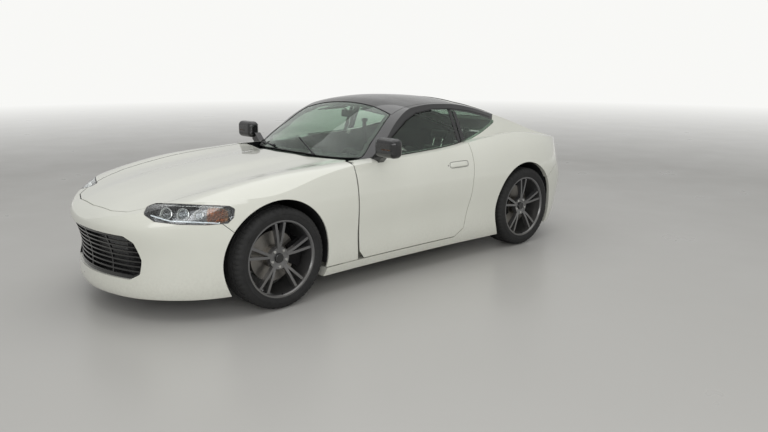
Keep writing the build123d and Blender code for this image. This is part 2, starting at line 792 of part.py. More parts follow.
def make_rear_bumper():
    wall = (body(0.0) - body(BUMPER_WALL)) & side_prism(REAR_BUMPER_LINE, 0, -FAR, FAR)
    wall -= block((-FAR, FAR), (-FAR, FAR), (0, up(BODY_BOTTOM)))
    wall -= both(wheel_space(REAR_AXLE_Y, across(600)))
    wall -= drawn_block((-560, 560), (1500, 1960), (0, 1400))
    wall -= end_prism(mirrored_outline(TAIL_BAND_HALF), 0, FAR, along(1990), PANEL_GAP)
    tips = drawn_block((400, 590), (1900, 2400), (100, 318))
    return wall - both(tips) - plate_holes(PLATE_REAR_Z, along(1950), TAIL_Y + 50)


def make_tail_panel():
    band = (body(0.0) - body(BUMPER_WALL)) & end_prism(mirrored_outline(TAIL_BAND_HALF), 0, FAR,
        along(1990))
    band &= block((-across(786), across(786)), (along(1960), FAR), (0, up(HATCH_LIP) - DOOR_GAP))
    return band - both(end_prism(TAIL_LAMP_LINE, 10, FAR, along(1990), BEARING_GAP))


def make_tail_lamp():
    lamp = (body(0.0) - body(BUMPER_WALL - 4)) & end_prism(TAIL_LAMP_LINE, 10, FAR, along(1990))
    return lamp & block((0, FAR), (along(1960), FAR), (0, FAR))


# ------------------------------------------------------------------------- structure
def make_floor():
    """Floor pan, tunnel and the two rails under the cabin and the engine."""
    pan = drawn_block((-690, 690), (-2080, 1130), (150, 164)) & waist(200.0 + BEARING_GAP)
    pan -= drawn_block((-118, 118), (-700, 1200), (100, 200))
    tunnel = drawn_block((-130, 130), (-700, 960), (150, 330)) - drawn_block((-118, 118),
        (-720, 1000), (100, 318))
    rails = both(drawn_block((350, 420), (-2008, 928), (164, 236)))
    space = wheel_space(FRONT_AXLE_Y, across(430)) + wheel_space(REAR_AXLE_Y, across(600))
    return pan + tunnel + rails - both(space)


def floor_room():
    """What the floor and its clearance take out of the walls that stand on it."""
    room = drawn_block((-130, 130), (-760, 1100), (100, 330)) + drawn_block((-690, 690),
        (-2080, 1130), (100, 164))
    room += both(drawn_block((350, 420), (-2008, 928), (100, 236)))
    return offset(room, BEARING_GAP, kind=Kind.INTERSECTION)


def wheel_housings(axle, inner_x, wall):
    """Both liners of one axle, between the floor and the outer panels."""
    liner = Pos(inner_x, axle, TYRE_RADIUS) * Rot(0, 90, 0) * Cylinder(
        ARCH_RADIUS + LINER, HALF_WIDTH - inner_x, align=(Align.CENTER, Align.CENTER, Align.MIN)
    )
    liner &= body(wall + BEARING_GAP) & block((0, FAR), (-FAR, FAR), (up(236), FAR))
    return both(liner - wheel_space(axle, inner_x))


def make_front_structure():
    """Engine bay sides, crossmembers, bulkhead, front wheel housings and the wall behind the bumper."""
    sides = both(drawn_block((418, 430), (-1890, -640), (164, 680)))
    beams = drawn_block((-420, 420), (-1260, -1200), (236, 329.7))
    beams += drawn_block((-420, 420), (-1970, -1910), (200, 249.7))
    bulkhead = drawn_block((-664, 664), (-640, -626), (164, 332))
    bulkhead += drawn_block((-700, 700), (-640, -626), (330.3, 800))
    shelf = block(
        (across(418), across(640)),
        (FRONT_AXLE_Y - 80, FRONT_AXLE_Y + 80),
        (TYRE_RADIUS + ARCH_RADIUS, TYRE_RADIUS + ARCH_RADIUS + 14),
    )
    solid = sides + beams + bulkhead + both(shelf)
    solid += wheel_housings(FRONT_AXLE_Y, across(430), BUMPER_WALL)

    nose = (body(BUMPER_WALL + BEARING_GAP) & drawn_block((-620, 620), (-2400, -1900), (150,
        580))) - waist(60.0)
    nose -= end_prism(mirrored_outline(GRILLE_HALF), 0, -FAR, along(-1700), 6)
    nose += drawn_block((-600, 600), (-2060, -2010), (164, 250)) & waist(BUMPER_WALL + BEARING_GAP)
    nose += both(drawn_block((350, 420), (-2030, -1900), (236, 560)))
    nose += both(drawn_block((418, 700), (-1890, -1850), (480, 680)) & body(60.0 + BEARING_GAP))
    nose -= plate_holes(PLATE_FRONT_Z, NOSE_Y - 50, along(-1950))
    solid = solid + nose - floor_room()
    solid -= both(wheel_space(FRONT_AXLE_Y, across(430)))
    return solid - both(lamp_prism(PANEL_GAP) & (body(0.0) - body(60.0)))


def make_rear_structure():
    """Wall behind the seats, luggage floor, frame, rear wheel housings and the wall behind the bumper."""
    solid = drawn_block((-600, 600), (930, 944), (164, 554))
    solid += drawn_block((-600, 600), (930, 2130), (540, 554)) & waist(40.0)
    frame = both(drawn_block((360, 430), (944, 1940), (380, 450))
        + drawn_block((360, 430), (1900, 1940), (380, 552)))
    frame += both(drawn_block((360, 430), (1140, 1500), (190, 450)))
    frame -= both(block((0, across(500)), (REAR_AXLE_Y - 50, REAR_AXLE_Y + 60),
        (TYRE_RADIUS - 110, TYRE_RADIUS + 40)))
    frame += drawn_block((-360, 360), (1150, 1190), (290, 340)) + drawn_block((-360, 360),
        (1440, 1480), (290, 340))
    solid += frame + wheel_housings(REAR_AXLE_Y, across(600), SIDE_WALL)
    tail = body(BUMPER_WALL + BEARING_GAP) & drawn_block((-416, 416), (1700, 2400), (330, 850))
    tail += body(SIDE_WALL + BEARING_GAP) & drawn_block((-740, 740), (1700, 2400), (330, 850))
    tail -= body(66.0)
    tail -= drawn_block((-580, 580), (1600, 2040), (554, 900))
    tail -= plate_holes(PLATE_REAR_Z, along(1950), TAIL_Y + 50)
    solid = solid + tail - floor_room()
    return solid - both(wheel_space(REAR_AXLE_Y, across(600)))


# ------------------------------------------------------------------------- wheels
def ring(profile):
    """A turned part from its (distance along the axle, radius) outline, axle along X."""
    face = Plane.XZ * make_face(Polyline(*profile, close=True))
    return revolve(face, Axis.X)


def make_tyre():
    half, tread, bead = TYRE_WIDTH / 2, TYRE_RADIUS, RIM_RADIUS
    wall = tread - bead
    flange = RIM_WIDTH / 2 - 14.5
    profile = [
        (-flange, bead),
        (-flange, bead + 12),
        (-half + 3, bead + 0.22 * wall),
        (-half, bead + 0.45 * wall),
        (-half + 5, tread - 0.26 * wall),
        (-half + 16, tread - 0.1 * wall),
        (-half + 34, tread - 2.5),
        (0, tread),
    ]
    return ring(profile + [(-x, r) for x, r in reversed(profile[:-1])])


def spoke(angle, spreading):
    """One blade from the hub to the barrel, leaning to one side of its pair."""
    reach = RIM_RADIUS - BARREL_WALL / 2
    outer = RIM_WIDTH / 2
    side = [
        (FACE_SEAT + 4, 60), (outer - 34, 64), (outer - 20, 130), (outer - 12, reach - 14),
        (outer - 14, reach),
    ]
    side += [(outer - 62, reach), (outer - 58, reach - 30), (FACE_SEAT + 16, 120)]
    blade = extrude(Plane.XZ * make_face(Polyline(*side, close=True)), 9, both=True)
    tilted = Pos(0, 0, 60) * Rot(spreading, 0, 0) * Pos(0, 0, -60) * blade
    return Rot(angle, 0, 0) * tilted


def make_rim():
    """A cast wheel on its own axle line: barrel, hub face, twin spokes, bore and bolt holes."""
    half, seat = RIM_WIDTH / 2, RIM_RADIUS - BEARING_GAP
    wall = BARREL_WALL
    outside = [
        (-half, seat + 9), (-half + 7, seat + 9), (-half + 14, seat), (half - 14, seat),
        (half - 7, seat + 9), (half, seat + 9),
    ]
    inside = [(half, seat - 2), (half - 10, seat - wall), (-half + 10, seat - wall), (-half, seat - 2)]
    rim = ring(outside + inside)
    rim += ring([(FACE_SEAT, 0), (half - 44, 0), (half - 40, 40), (half - 34, 74), (FACE_SEAT, 78)])
    for i in range(SPOKE_PAIRS):
        for lean in (-6.5, 6.5):
            rim += spoke(i * 360 / SPOKE_PAIRS + lean / 2, lean)
    rim -= Rot(0, 90, 0) * Cylinder(STUB_RADIUS + BEARING_GAP, 400)
    for i in range(BOLT_COUNT):
        hole = Pos(0, 0, BOLT_CIRCLE) * Rot(0, 90, 0) * Cylinder(7, 400)
        rim -= Rot((i + 0.5) * 360 / BOLT_COUNT, 0, 0) * hole
    return rim


def make_brake_disc():
    """Rotor, its hat against the wheel's mounting face, and the stub shaft."""
    low, high = ROTOR
    seat = FACE_SEAT - BEARING_GAP
    radius = BRAKE_DISC_RADIUS
    disc = ring([(low, 84), (high, 84), (high, radius), (low, radius)])
    disc += ring([(high - 8, 0), (high, 0), (high, 92), (high - 8, 92)])
    disc += ring([(high - 8, 70), (seat, 70), (seat, 78), (high - 8, 78)])
    disc += ring([(seat - 8, 0), (seat, 0), (seat, 78), (seat - 8, 78)])
    disc += ring([(-STUB_LENGTH, 0), (high, 0), (high, STUB_RADIUS), (-STUB_LENGTH, STUB_RADIUS)])
    disc += ring([(seat - 4, 0), (seat + 34, 0), (seat + 34, STUB_RADIUS), (seat - 4, STUB_RADIUS)])
    return disc


# ------------------------------------------------------------------------- suspension


def make_upright(brake_side):
    """The left upright on its own axle: bearing housing, steering bar, pins and brake caliper."""
    low, high = ROTOR
    body_part = Pos(-57, 0, 0) * Rot(0, 90, 0) * Cylinder(42, 52)
    body_part += Pos(PIVOT_X, 0, 0) * Cylinder(16, 2 * PIVOT_RISE)
    body_part += Pos(PIVOT_X, 0, 0) * Cylinder(PIVOT_PIN, 2 * (EYE[1] + 4))
    inner, outer = 112.0, RIM_RADIUS - BARREL_WALL - 32
    pads = ring([(low - 34, inner), (high + 24, inner), (high + 24, outer), (low - 34, outer)])
    pads -= ring([
        (low - CALIPER_GAP, 0), (high + CALIPER_GAP, 0),
        (high + CALIPER_GAP, BRAKE_DISC_RADIUS + 6), (low - CALIPER_GAP, BRAKE_DISC_RADIUS + 6),
    ])
    wedge = make_face(Polyline((0, 0), (brake_side * 300, -170), (brake_side * 300, 170), close=True))
    pads &= Pos(low - 60, 0, 0) * extrude(Plane.YZ * wedge, 200)
    arm = block((low - 40, low - 14), (0, brake_side * 150), (-26, 26))
    body_part += pads + arm
    return body_part - Rot(0, 90, 0) * Cylinder(STUB_RADIUS + BEARING_GAP, 400)


def make_arms(inner_x, tower_z):
    """One left wheel's fixed arms and damper, from the axle's point on the ground plane up."""
    pivot = Vector(WHEEL_X + PIVOT_X, 0, TYRE_RADIUS)
    parts = None
    for sign in (-1, 1):
        level = sign * (EYE[0] + EYE[1]) / 2
        middle = pivot + Vector(0, 0, level)
        eye = Pos(*middle) * Cylinder(EYE_RADIUS, EYE[1] - EYE[0])
        fork = Vector(WHEEL_X - 225, 0, TYRE_RADIUS + level)
        arm = eye + rod(middle, fork, 13)
        for side in (-1, 1):
            arm += rod(fork, (inner_x, side * 105, TYRE_RADIUS + level), 13)
        arm += Pos(*fork) * Sphere(16)
        arm -= Pos(*middle) * Cylinder(PIVOT_PIN + BEARING_GAP, 100)
        parts = arm if parts is None else parts + arm
    foot = (WHEEL_X - 225, 0, TYRE_RADIUS - (EYE[0] + EYE[1]) / 2)
    knee = (WHEEL_X - 225, 0, foot[2] + 0.55 * (tower_z - foot[2]))
    parts += rod(foot, knee, 24) + rod(knee, (WHEEL_X - 225, 0, tower_z), 11)
    return parts


def make_front_suspension():
    top = TYRE_RADIUS + ARCH_RADIUS - BEARING_GAP
    left = Pos(0, FRONT_AXLE_Y, 0) * make_arms(across(430) + 13, top)
    both_sides = both(left)
    rack_end = across(418) - BEARING_GAP
    rack = rod((-rack_end, FRONT_AXLE_Y + 150, 270), (rack_end, FRONT_AXLE_Y + 150, 270), 22)
    return both_sides + rack


def make_rear_suspension():
    left = Pos(0, REAR_AXLE_Y, 0) * make_arms(across(430) + 9, up(540) - BEARING_GAP)
    shaft_end = WHEEL_X - STUB_LENGTH - 6
    shafts = both(rod((100, REAR_AXLE_Y, TYRE_RADIUS - 60), (shaft_end, REAR_AXLE_Y, TYRE_RADIUS), 15))
    final_drive = Pos(0, REAR_AXLE_Y, TYRE_RADIUS - 70) * Box(240, 200, 150)
    return both(left) + shafts + final_drive


def make_exhaust():
    bends = [
        (0, along(-820), up(240)), (0, along(980), up(235)), (190, along(1120), up(235)),
        (190, along(1640), up(225)),
    ]
    pipe = rod(bends[0], bends[1], 30)
    for start, end in zip(bends[1:], bends[2:]):
        pipe += rod(start, end, 30) + Pos(*start) * Sphere(30)
    box = drawn_block((-440, 440), (1620, 1880), (170, 290))
    tails = both(rod((across(495), along(1870), up(230)), (across(495), TAIL_Y - 40, up(230)), 42))
    tails += both(drawn_block((400, 495), (1780, 1880), (200, 260))
        + drawn_block((455, 535), (1860, 1900), (190, 270)))
    tails -= both(rod((across(495), along(1960), up(230)), (across(495), TAIL_Y, up(230)), 37))
    hangers = both(drawn_block((280, 296), (1740, 1756), (280, 539.7)))
    return pipe + box + tails + hangers


def make_engine():
    block_body = drawn_block((-230, 230), (-1500, -900), (330, 640))
    cover = drawn_block((-190, 190), (-1440, -940), (630, 700))
    return chamfer(block_body.edges().filter_by(Axis.Y), 30) + cover


def make_radiator():
    return drawn_block((-340, 340), (-1962, -1918), (250, 540))


def make_cowl():
    """The trough below the bonnet's rear edge, which carries the bonnet's hinges."""
    strip = plan_prism(mirrored_outline([(0, -730), (300, -700), (560, -640), (690, -625),
        (690, -500), (560, -470), (0, -560)]), 0, up(700))
    trough = (body(60.0) - body(74.0)) & strip
    trough -= cabin(-SEAL_GAP)
    trough -= both((waist(0.0) - waist(DOOR_WALL + DOOR_GAP))
        & drawn_block((500, 1400), (-640, -300), (700, 1000)))
    place = Pos(BONNET_HINGE_X, BONNET_AXIS_Y, BONNET_AXIS_Z)
    neck = [(-6, 0), (-6, -48), (6, -48), (6, 0)]
    return trough + both(place * cross_pin(neck))


def make_wipers():
    """Two blades lying on the foot of the windscreen."""
    arms = None
    for x in (-200.0, 330.0):
        foot_y, tip_x, tip_y = -545.0, x - 330.0, -440.0
        low = Vector(across(x), along(foot_y), up(cabin_top(x, foot_y)) + 10)
        high = Vector(across(tip_x), along(tip_y), up(cabin_top(tip_x, tip_y)) + 10)
        arm = rod(low, high, 6) + Pos(*low) * Sphere(12)
        arms = arm if arms is None else arms + arm
    return arms - cabin(-BEARING_GAP)


# ------------------------------------------------------------------------- cabin fittings


def on_column():
    x, y, z = COLUMN_PLACE
    return Plane(origin=(across(x), along(y), up(z)), x_dir=(1, 0, 0), z_dir=WHEEL_AIM)


def make_dashboard():
    """Dash panel from pillar to pillar, with the instrument hood and the fixed column."""
    profile = [
        (-625.7, 640), (-625.7, 800), (-560, 850), (-420, 868), (-330, 850), (-300, 800),
        (-330, 700), (-420, 620),
    ]
    dash = side_prism(profile, 0, -across(690), across(690))
    hood = side_prism([(-430, 830), (-420, 900), (-310, 905), (-300, 830)], 0, across(230), across(510))
    column = on_column() * Pos(0, 0, -200) * Cylinder(26, 240)
    dash = dash + hood + column
    pin = on_column() * Pos(0, 0, -60) * Cylinder(10, 70)
    dash += pin
    dash &= waist(150.0 + BEARING_GAP) + drawn_block((-600, 600), (-700, 0), (300, 1000))
    dash -= both(drawn_block((630, 900), (-700, -200), (800, 1000)))
    return dash & cabin(SIDE_WALL) + drawn_block((-800, 800), (-700, 0), (300, 820))


def make_steering_wheel():
    rim = Torus(178, 15)
    hub = Pos(0, 0, -10) * Cylinder(48, 40)
    arms = Pos(0, 0, -12) * Box(350, 34, 12) + Pos(0, -88, -12) * Box(40, 180, 12)
    wheel = rim + hub + (arms & Cylinder(178, 60))
    wheel -= Pos(0, 0, -60) * Cylinder(10 + BEARING_GAP, 90)
    return on_column() * wheel


def make_seat(x):
    """Cushion, back and headrest on a low base; x is the seat's middle, drawn."""
    base = drawn_block((x - 200, x + 200), (80, 540), (236.3, 260))
    cushion = fillet(drawn_block((x - 240, x + 240), (20, 560), (240, 400)).edges(), 45)
    left, right = across(x - 235), across(x + 235)
    back = side_prism([(470, 330), (600, 330), (800, 880), (760, 920), (690, 920), (640, 860)], 0,
        left, right)
    back = fillet(back.edges().filter_by(Axis.X), 28)
    rest = side_prism([(700, 900), (810, 900), (838, 1010), (760, 1040), (724, 1030)], 0,
        across(x - 120), across(x + 120))
    return base + cushion + back + fillet(rest.edges().filter_by(Axis.X), 20)


def make_console():
    tall = drawn_block((-112, 112), (-330, 700), (330.3, 420))
    lid = drawn_block((-100, 100), (250, 640), (410, 500))
    lever = rod((0, along(60), up(410)), (0, along(40), up(530)), 11) + Pos(0, along(40),
        up(535)) * Sphere(24)
    return tall + lid + lever


def wheel_frame(x_side, axle_y):
    """Carries a left-hand part from its own axle line to its wheel, mirrored on the right."""
    place = Pos(WHEEL_X, axle_y, TYRE_RADIUS)

    def carried(shape):
        left = place * shape
        return left if x_side > 0 else mirror(left, about=Plane.YZ)

    return carried


def save(name, shape, surface_curves=True):
    """Writes one node, as its plain solids. Without the curves on its surfaces a large file halves."""
    solids = list(shape.solids())
    whole = solids[0] if len(solids) == 1 else Compound(solids)
    export_step(whole, "parts/" + name + ".step", write_pcurves=surface_curves)


def save_pair(name, left, surface_curves=True):
    save(name + "_left", left, surface_curves)
    save(name + "_right", mirror(left, about=Plane.YZ), surface_curves)


def main():
    os.makedirs("parts", exist_ok=True)
    save("floor", make_floor())
    save("front_structure", make_front_structure(), False)
    save("rear_structure", make_rear_structure(), False)
    save_pair("body_side", make_body_side(), False)
    save_pair("fender", make_fender())
    save("front_bumper", make_front_bumper())
    save("grille", make_grille())
    save("headlamps", both(make_headlamp()))
    save("rear_bumper", make_rear_bumper())
    save("tail_panel", make_tail_panel())
    save("tail_lamps", both(make_tail_lamp()))
    save("roof_panel", make_roof())
    save_pair("roof_rail", make_roof_rail())
    save("cowl", make_cowl())
    save("windscreen", make_screen())
    save("quarter_windows", both(make_quarter_window()))
    save("wipers", make_wipers())
    save("bonnet", make_bonnet())
    save("hatch", make_hatch())
    save("rear_glass", make_rear_glass())
    save_pair("door", make_door())
    save_pair("door_glass", make_door_glass())
    save_pair("mirror", make_mirror())
    save("dashboard", make_dashboard())
    save("console", make_console())
    save("seat_driver", make_seat(370))
    save("seat_passenger", make_seat(-370))
    save("steering_wheel", make_steering_wheel())
    save("engine", make_engine())
    save("radiator", make_radiator())
    save("exhaust", make_exhaust())
    save("front_suspension", make_front_suspension())
    save("rear_suspension", make_rear_suspension())

    uprights = []
    for end, axle_y in (("front", FRONT_AXLE_Y), ("rear", REAR_AXLE_Y)):
        upright = make_upright(1 if end == "front" else -1)
        for side, sign in (("left", 1), ("right", -1)):
            carried = wheel_frame(sign, axle_y)
            name = end + "_" + side
            save("tyre_" + name, carried(make_tyre()))
            save("rim_" + name, carried(make_rim()))
            save("brake_disc_" + name, carried(make_brake_disc()))
            if end == "front":
                save("upright_" + name, carried(upright))
            else:
                uprights.append(carried(upright))
    save("rear_uprights", uprights[0] + uprights[1])


if __name__ == "__main__":
    main()
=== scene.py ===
"""The sports coupe's visual model, built over its CAD frame.

Lengths are in metres. +X is the car's left side, -Y its nose and +Z up. Pieces with "left" in
their name are drawn once, and pair() adds the right-hand ones.
"""

import json
import math

import bmesh
import bpy
import numpy as np
from mathutils import Matrix, Vector
from mathutils.bvhtree import BVHTree

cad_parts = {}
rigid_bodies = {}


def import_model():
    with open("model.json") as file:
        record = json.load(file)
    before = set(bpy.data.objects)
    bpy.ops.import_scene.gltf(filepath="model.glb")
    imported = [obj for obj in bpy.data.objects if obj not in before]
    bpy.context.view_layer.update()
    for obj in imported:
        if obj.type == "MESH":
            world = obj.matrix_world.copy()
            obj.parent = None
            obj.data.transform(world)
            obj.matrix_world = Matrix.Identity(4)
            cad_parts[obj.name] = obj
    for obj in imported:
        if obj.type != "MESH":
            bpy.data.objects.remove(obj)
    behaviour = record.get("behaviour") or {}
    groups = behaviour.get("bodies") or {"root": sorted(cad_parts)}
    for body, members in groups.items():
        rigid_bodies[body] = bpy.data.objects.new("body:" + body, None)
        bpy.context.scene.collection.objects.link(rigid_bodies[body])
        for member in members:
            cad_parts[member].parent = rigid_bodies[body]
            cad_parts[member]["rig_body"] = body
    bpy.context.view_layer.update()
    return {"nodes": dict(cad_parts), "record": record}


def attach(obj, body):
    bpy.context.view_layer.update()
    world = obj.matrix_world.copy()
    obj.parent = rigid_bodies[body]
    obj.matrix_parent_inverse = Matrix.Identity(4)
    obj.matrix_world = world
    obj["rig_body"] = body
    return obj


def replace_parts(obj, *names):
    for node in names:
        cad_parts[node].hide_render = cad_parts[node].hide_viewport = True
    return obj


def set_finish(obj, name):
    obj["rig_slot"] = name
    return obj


for leftover in list(bpy.data.objects):
    bpy.data.objects.remove(leftover)
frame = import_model()
NODES = frame["nodes"]
SCENE = bpy.context.scene
SIDES = (("left", 1), ("right", -1))
AXES = TO_LEFT, TO_TAIL, UP = Vector((1, 0, 0)), Vector((0, 1, 0)), Vector((0, 0, 1))
TO_RIGHT, TO_NOSE, DOWN = (-axis for axis in AXES)
# Where rays start: left of the car, ahead of its mirrors, behind it, over its floor, in its cabin.
BESIDE, AHEAD, BEHIND, OVER, CABIN = 2.0, -2.0, 3.0, 1.2, 0.4
FLAT = (0, 0, 0)
WELD = 1e-6
BACKDROP = (0.94, 0.94, 0.92, 1.0)

# ---------------------------------------------------------------- materials
MIX_A, MIX_B, MIX_COLOUR = 6, 7, 2  # the Mix node's colour sockets: two in, one out


def colour(text):
    """A hex sRGB colour as linear RGBA."""
    parts = [int(text[i : i + 2], 16) / 255 for i in (0, 2, 4)]
    return tuple(p / 12.92 if p <= 0.04045 else ((p + 0.055) / 1.055) ** 2.4 for p in parts) + (1.0,)


class Finish:
    """A Principled material built up from patterns in the object's own coordinates."""

    def __init__(self, name, base, rough, **sockets):
        self.material = bpy.data.materials.new(name)
        self.material.use_nodes = True
        self.tree = self.material.node_tree
        self.shader = self.tree.nodes["Principled BSDF"]
        self.place = self.tree.nodes.new("ShaderNodeTexCoord")
        self.shader.inputs["Base Color"].default_value = colour(base)
        self.shader.inputs["Roughness"].default_value = rough
        for key, value in sockets.items():
            self.shader.inputs[key.replace("_", " ")].default_value = value
        self.height = None

    def node(self, kind, inputs=None, **settings):
        """A shader node with its inputs set, or linked where a value is a socket."""
        made = self.tree.nodes.new("ShaderNode" + kind)
        for key, value in settings.items():
            setattr(made, key, value)
        for key, value in (inputs or {}).items():
            if isinstance(value, bpy.types.NodeSocket):
                self.tree.links.new(value, made.inputs[key])
            else:
                made.inputs[key].default_value = value
        return made

    def calc(self, operation, *values):
        return self.node("Math", dict(enumerate(values)), operation=operation).outputs[0]

    def axis(self, letter, of="Object"):
        return self.node("SeparateXYZ", {0: self.place.outputs[of]}).outputs["XYZ".index(letter)]

    def pattern(self, kind, scale, **inputs):
        """A texture's value, from 0 to about 1. kind is Noise or Voronoi."""
        where = self.place.outputs["Object"]
        made = self.node("Tex" + kind, {"Vector": where, "Scale": scale, **inputs})
        return made.outputs["Distance" if kind == "Voronoi" else 0]

    def level(self, value, low, high, to_low=0.0, to_high=1.0):
        """The value with low to high stretched over to_low to to_high, and clamped there."""
        inputs = {"Value": value, "From Min": low, "From Max": high, "To Min": to_low, "To Max": to_high}
        return self.node("MapRange", inputs, clamp=True).outputs[0]

    def blend(self, other, share):
        """Mixes another hex colour in where share is 1."""
        target = self.shader.inputs["Base Color"]
        before = target.links[0].from_socket if target.is_linked else tuple(target.default_value)
        mix = self.node("Mix", {"Factor": share, MIX_A: before, MIX_B: colour(other)}, data_type="RGBA")
        self.tree.links.new(mix.outputs[MIX_COLOUR], target)

    def roughen(self, value, low, high):
        """Lets the roughness follow a pattern, from low to high."""
        self.tree.links.new(self.level(value, 0.25, 0.75, low, high), self.shader.inputs["Roughness"])

    def relief(self, value, depth, strength):
        """Raises the surface by depth metres where value is 1."""
        inputs = {"Height": value, "Distance": depth, "Strength": strength}
        if self.height is not None:
            inputs["Normal"] = self.height
        self.height = self.node("Bump", inputs).outputs[0]
        self.tree.links.new(self.height, self.shader.inputs["Normal"])

    def swap(self, share, other):
        """Shows another shader instead where share is 1."""
        mix = self.node("MixShader", {0: share, 1: self.shader.outputs[0], 2: other})
        self.tree.links.new(mix.outputs[0], self.tree.nodes["Material Output"].inputs[0])

    def facing_in(self):
        """1 on surfaces that look towards the car's middle line, 0 on the outer ones."""
        outward = self.calc("MULTIPLY", self.calc("SIGN", self.axis("X")), self.axis("X", "Normal"))
        return self.level(outward, -0.35, -0.2, 1.0, 0.0)


def paint(name, base, shade, coat_rough=0.03, metallic=0.0):
    """Gloss paint under clear coat: a trace of orange peel, road film low down."""
    coat = {"Coat_Weight": 1.0, "Coat_Roughness": coat_rough, "Specular_IOR_Level": 0.45}
    f = Finish(name, base, 0.35, Metallic=metallic, **coat)
    f.blend(shade, f.level(f.pattern("Noise", 2.2, Detail=3.0), 0.35, 0.8, 0.0, 0.35))
    film = f.level(f.axis("Z"), 0.2, 0.42, 0.3, 0.0)
    f.blend("8c877c", f.calc("MULTIPLY", film, f.pattern("Noise", 60.0, Detail=4.0)))
    f.roughen(f.pattern("Noise", 7.0, Detail=2.0), 0.28, 0.42)
    f.relief(f.pattern("Noise", 420.0), 0.00004, 0.3)
    return f


def plastic(name, base, rough, grain=700.0, depth=0.00012, **sockets):
    """Moulded plastic with a fine pebble grain."""
    f = Finish(name, base, rough, **sockets)
    wear = "3a3a3a" if base < "2" else "101010"  # dark plastic wears lighter, and pale plastic darker
    f.blend(wear, f.level(f.pattern("Noise", 5.0, Detail=3.0), 0.4, 0.9, 0.0, 0.25))
    f.roughen(f.pattern("Noise", 30.0, Detail=2.0), rough - 0.08, rough + 0.1)
    f.relief(f.pattern("Voronoi", grain), depth, 0.6)
    return f


def metal(name, base, rough, scale=90.0, depth=0.00005):
    """Bare or brushed metal with a stain here and there."""
    f = Finish(name, base, rough, Metallic=1.0)
    grain = f.pattern("Noise", scale, Detail=3.0)
    f.blend("4a4844", f.level(f.pattern("Noise", 9.0, Detail=4.0), 0.5, 0.85, 0.0, 0.35))
    f.roughen(grain, rough * 0.7, min(1.0, rough * 1.4))
    f.relief(grain, depth, 0.5)
    return f


def see_through(name, tint, shadow, rough=0.0):
    """Glass or clear plastic which lets the lamps' light through, with its own tint."""
    f = Finish(name, tint, rough, Transmission_Weight=1.0, IOR=1.45)
    f.relief(f.pattern("Noise", 1.3), 0.0008, 0.05)
    passed = f.node("BsdfTransparent", {"Color": colour(shadow)})
    f.swap(f.node("LightPath").outputs["Is Shadow Ray"], passed.outputs[0])
    return f


def glow(name, tint, strength):
    """Plastic that gives off a little light."""
    f = plastic(name, tint, 0.35)
    f.shader.inputs["Emission Color"].default_value = colour(tint)
    f.shader.inputs["Emission Strength"].default_value = strength
    return f


body_white = paint("paint_white", "dadbd1", "cfd0c5")
body_white.blend("1d1d1e", body_white.facing_in())
rim_grey = paint("rim_paint", "6c6c6d", "5a5a5b", 0.12, 0.7)
black = plastic("trim_plastic", "17171a", 0.55)
gloss = plastic("gloss_plastic", "0b0b0c", 0.22, 300.0, 0.00002, Coat_Weight=0.6)
dash = plastic("soft_plastic", "18181a", 0.65, 500.0, 0.0002)
leather = plastic("leather", "1c1b1b", 0.5, 240.0, 0.0003)
rubber = plastic("rubber", "1a1a1a", 0.75, 420.0, 0.0001)
seal = plastic("seal_rubber", "0c0c0d", 0.6, 500.0, 0.0001)
hose = plastic("hose_rubber", "111112", 0.7, 400.0, 0.0001)
ink = plastic("ceramic_ink", "070708", 0.4, 900.0, 0.00001)
red_bowl = plastic("tail_bowl", "3a0a0a", 0.35, 300.0, 0.00002, Coat_Weight=0.3)
screen_black = plastic("screen_black", "050507", 0.08, 200.0, 0.000005, Coat_Weight=0.8)
suede = plastic("suede", "232325", 0.85, 900.0, 0.00025)
carpet = plastic("carpet", "1a1a1b", 0.95, 1500.0, 0.0012)
lining = plastic("roof_lining", "2a2a2b", 0.9, 1300.0, 0.0003)
webbing = plastic("webbing", "141415", 0.8, 1800.0, 0.0002)
steel = metal("steel", "8d8a85", 0.25)
alloy = metal("alloy", "7d7d7d", 0.45)
arm_iron = metal("arm_paint", "2a2a2b", 0.6)
chrome = metal("chrome", "c9c9c6", 0.08, 30.0, 0.00001)
mirror_glass = metal("mirror_glass", "b8bcc0", 0.03, 8.0, 0.000005)
bowl_grey = metal("reflector", "6c6c6d", 0.25, 40.0, 0.00002)
lens_clear = see_through("lens_clear", "f2f5f6", "e0e4e6")
lens_red = see_through("lens_red", "8c1010", "701010")
amber = see_through("amber_lens", "f2b27a", "e8a868", 0.08)
clear_tank = see_through("tank_plastic", "e8e6da", "b8b6aa", 0.35)
light_guide = glow("light_guide", "e9edf0", 0.12)
red_glow = glow("tail_light", "c01818", 0.25)
dial_white = glow("dial_marks", "d8d8d4", 0.25)

SLOT_FINISHES = {
    "body_white": body_white,
    "roof_black": paint("paint_black", "0d0d0f", "141416", 0.05),
    "trim_black": black,
    "gloss_black": gloss,
    "under_steel": plastic("under_primer", "18181a", 0.7, 260.0, 0.0003),
    "glass_clear": see_through("glass", "c4d6c9", "90a898"),
    "lamp_front": lens_clear,
    "lamp_rear": lens_red,
    "tyre": rubber,
    "rim_grey": rim_grey,
    "disc_iron": metal("brake_iron", "8a8782", 0.35, 500.0),
    "arm_iron": arm_iron,
    "steel_pipe": steel,
    "engine_alloy": alloy,
    "dash_plastic": dash,
    "seat_leather": leather,
}
for part in frame["record"]["subparts"]:
    for slot in NODES[part["node"]].material_slots:
        slot.material = SLOT_FINISHES[part["material_slot"]].material


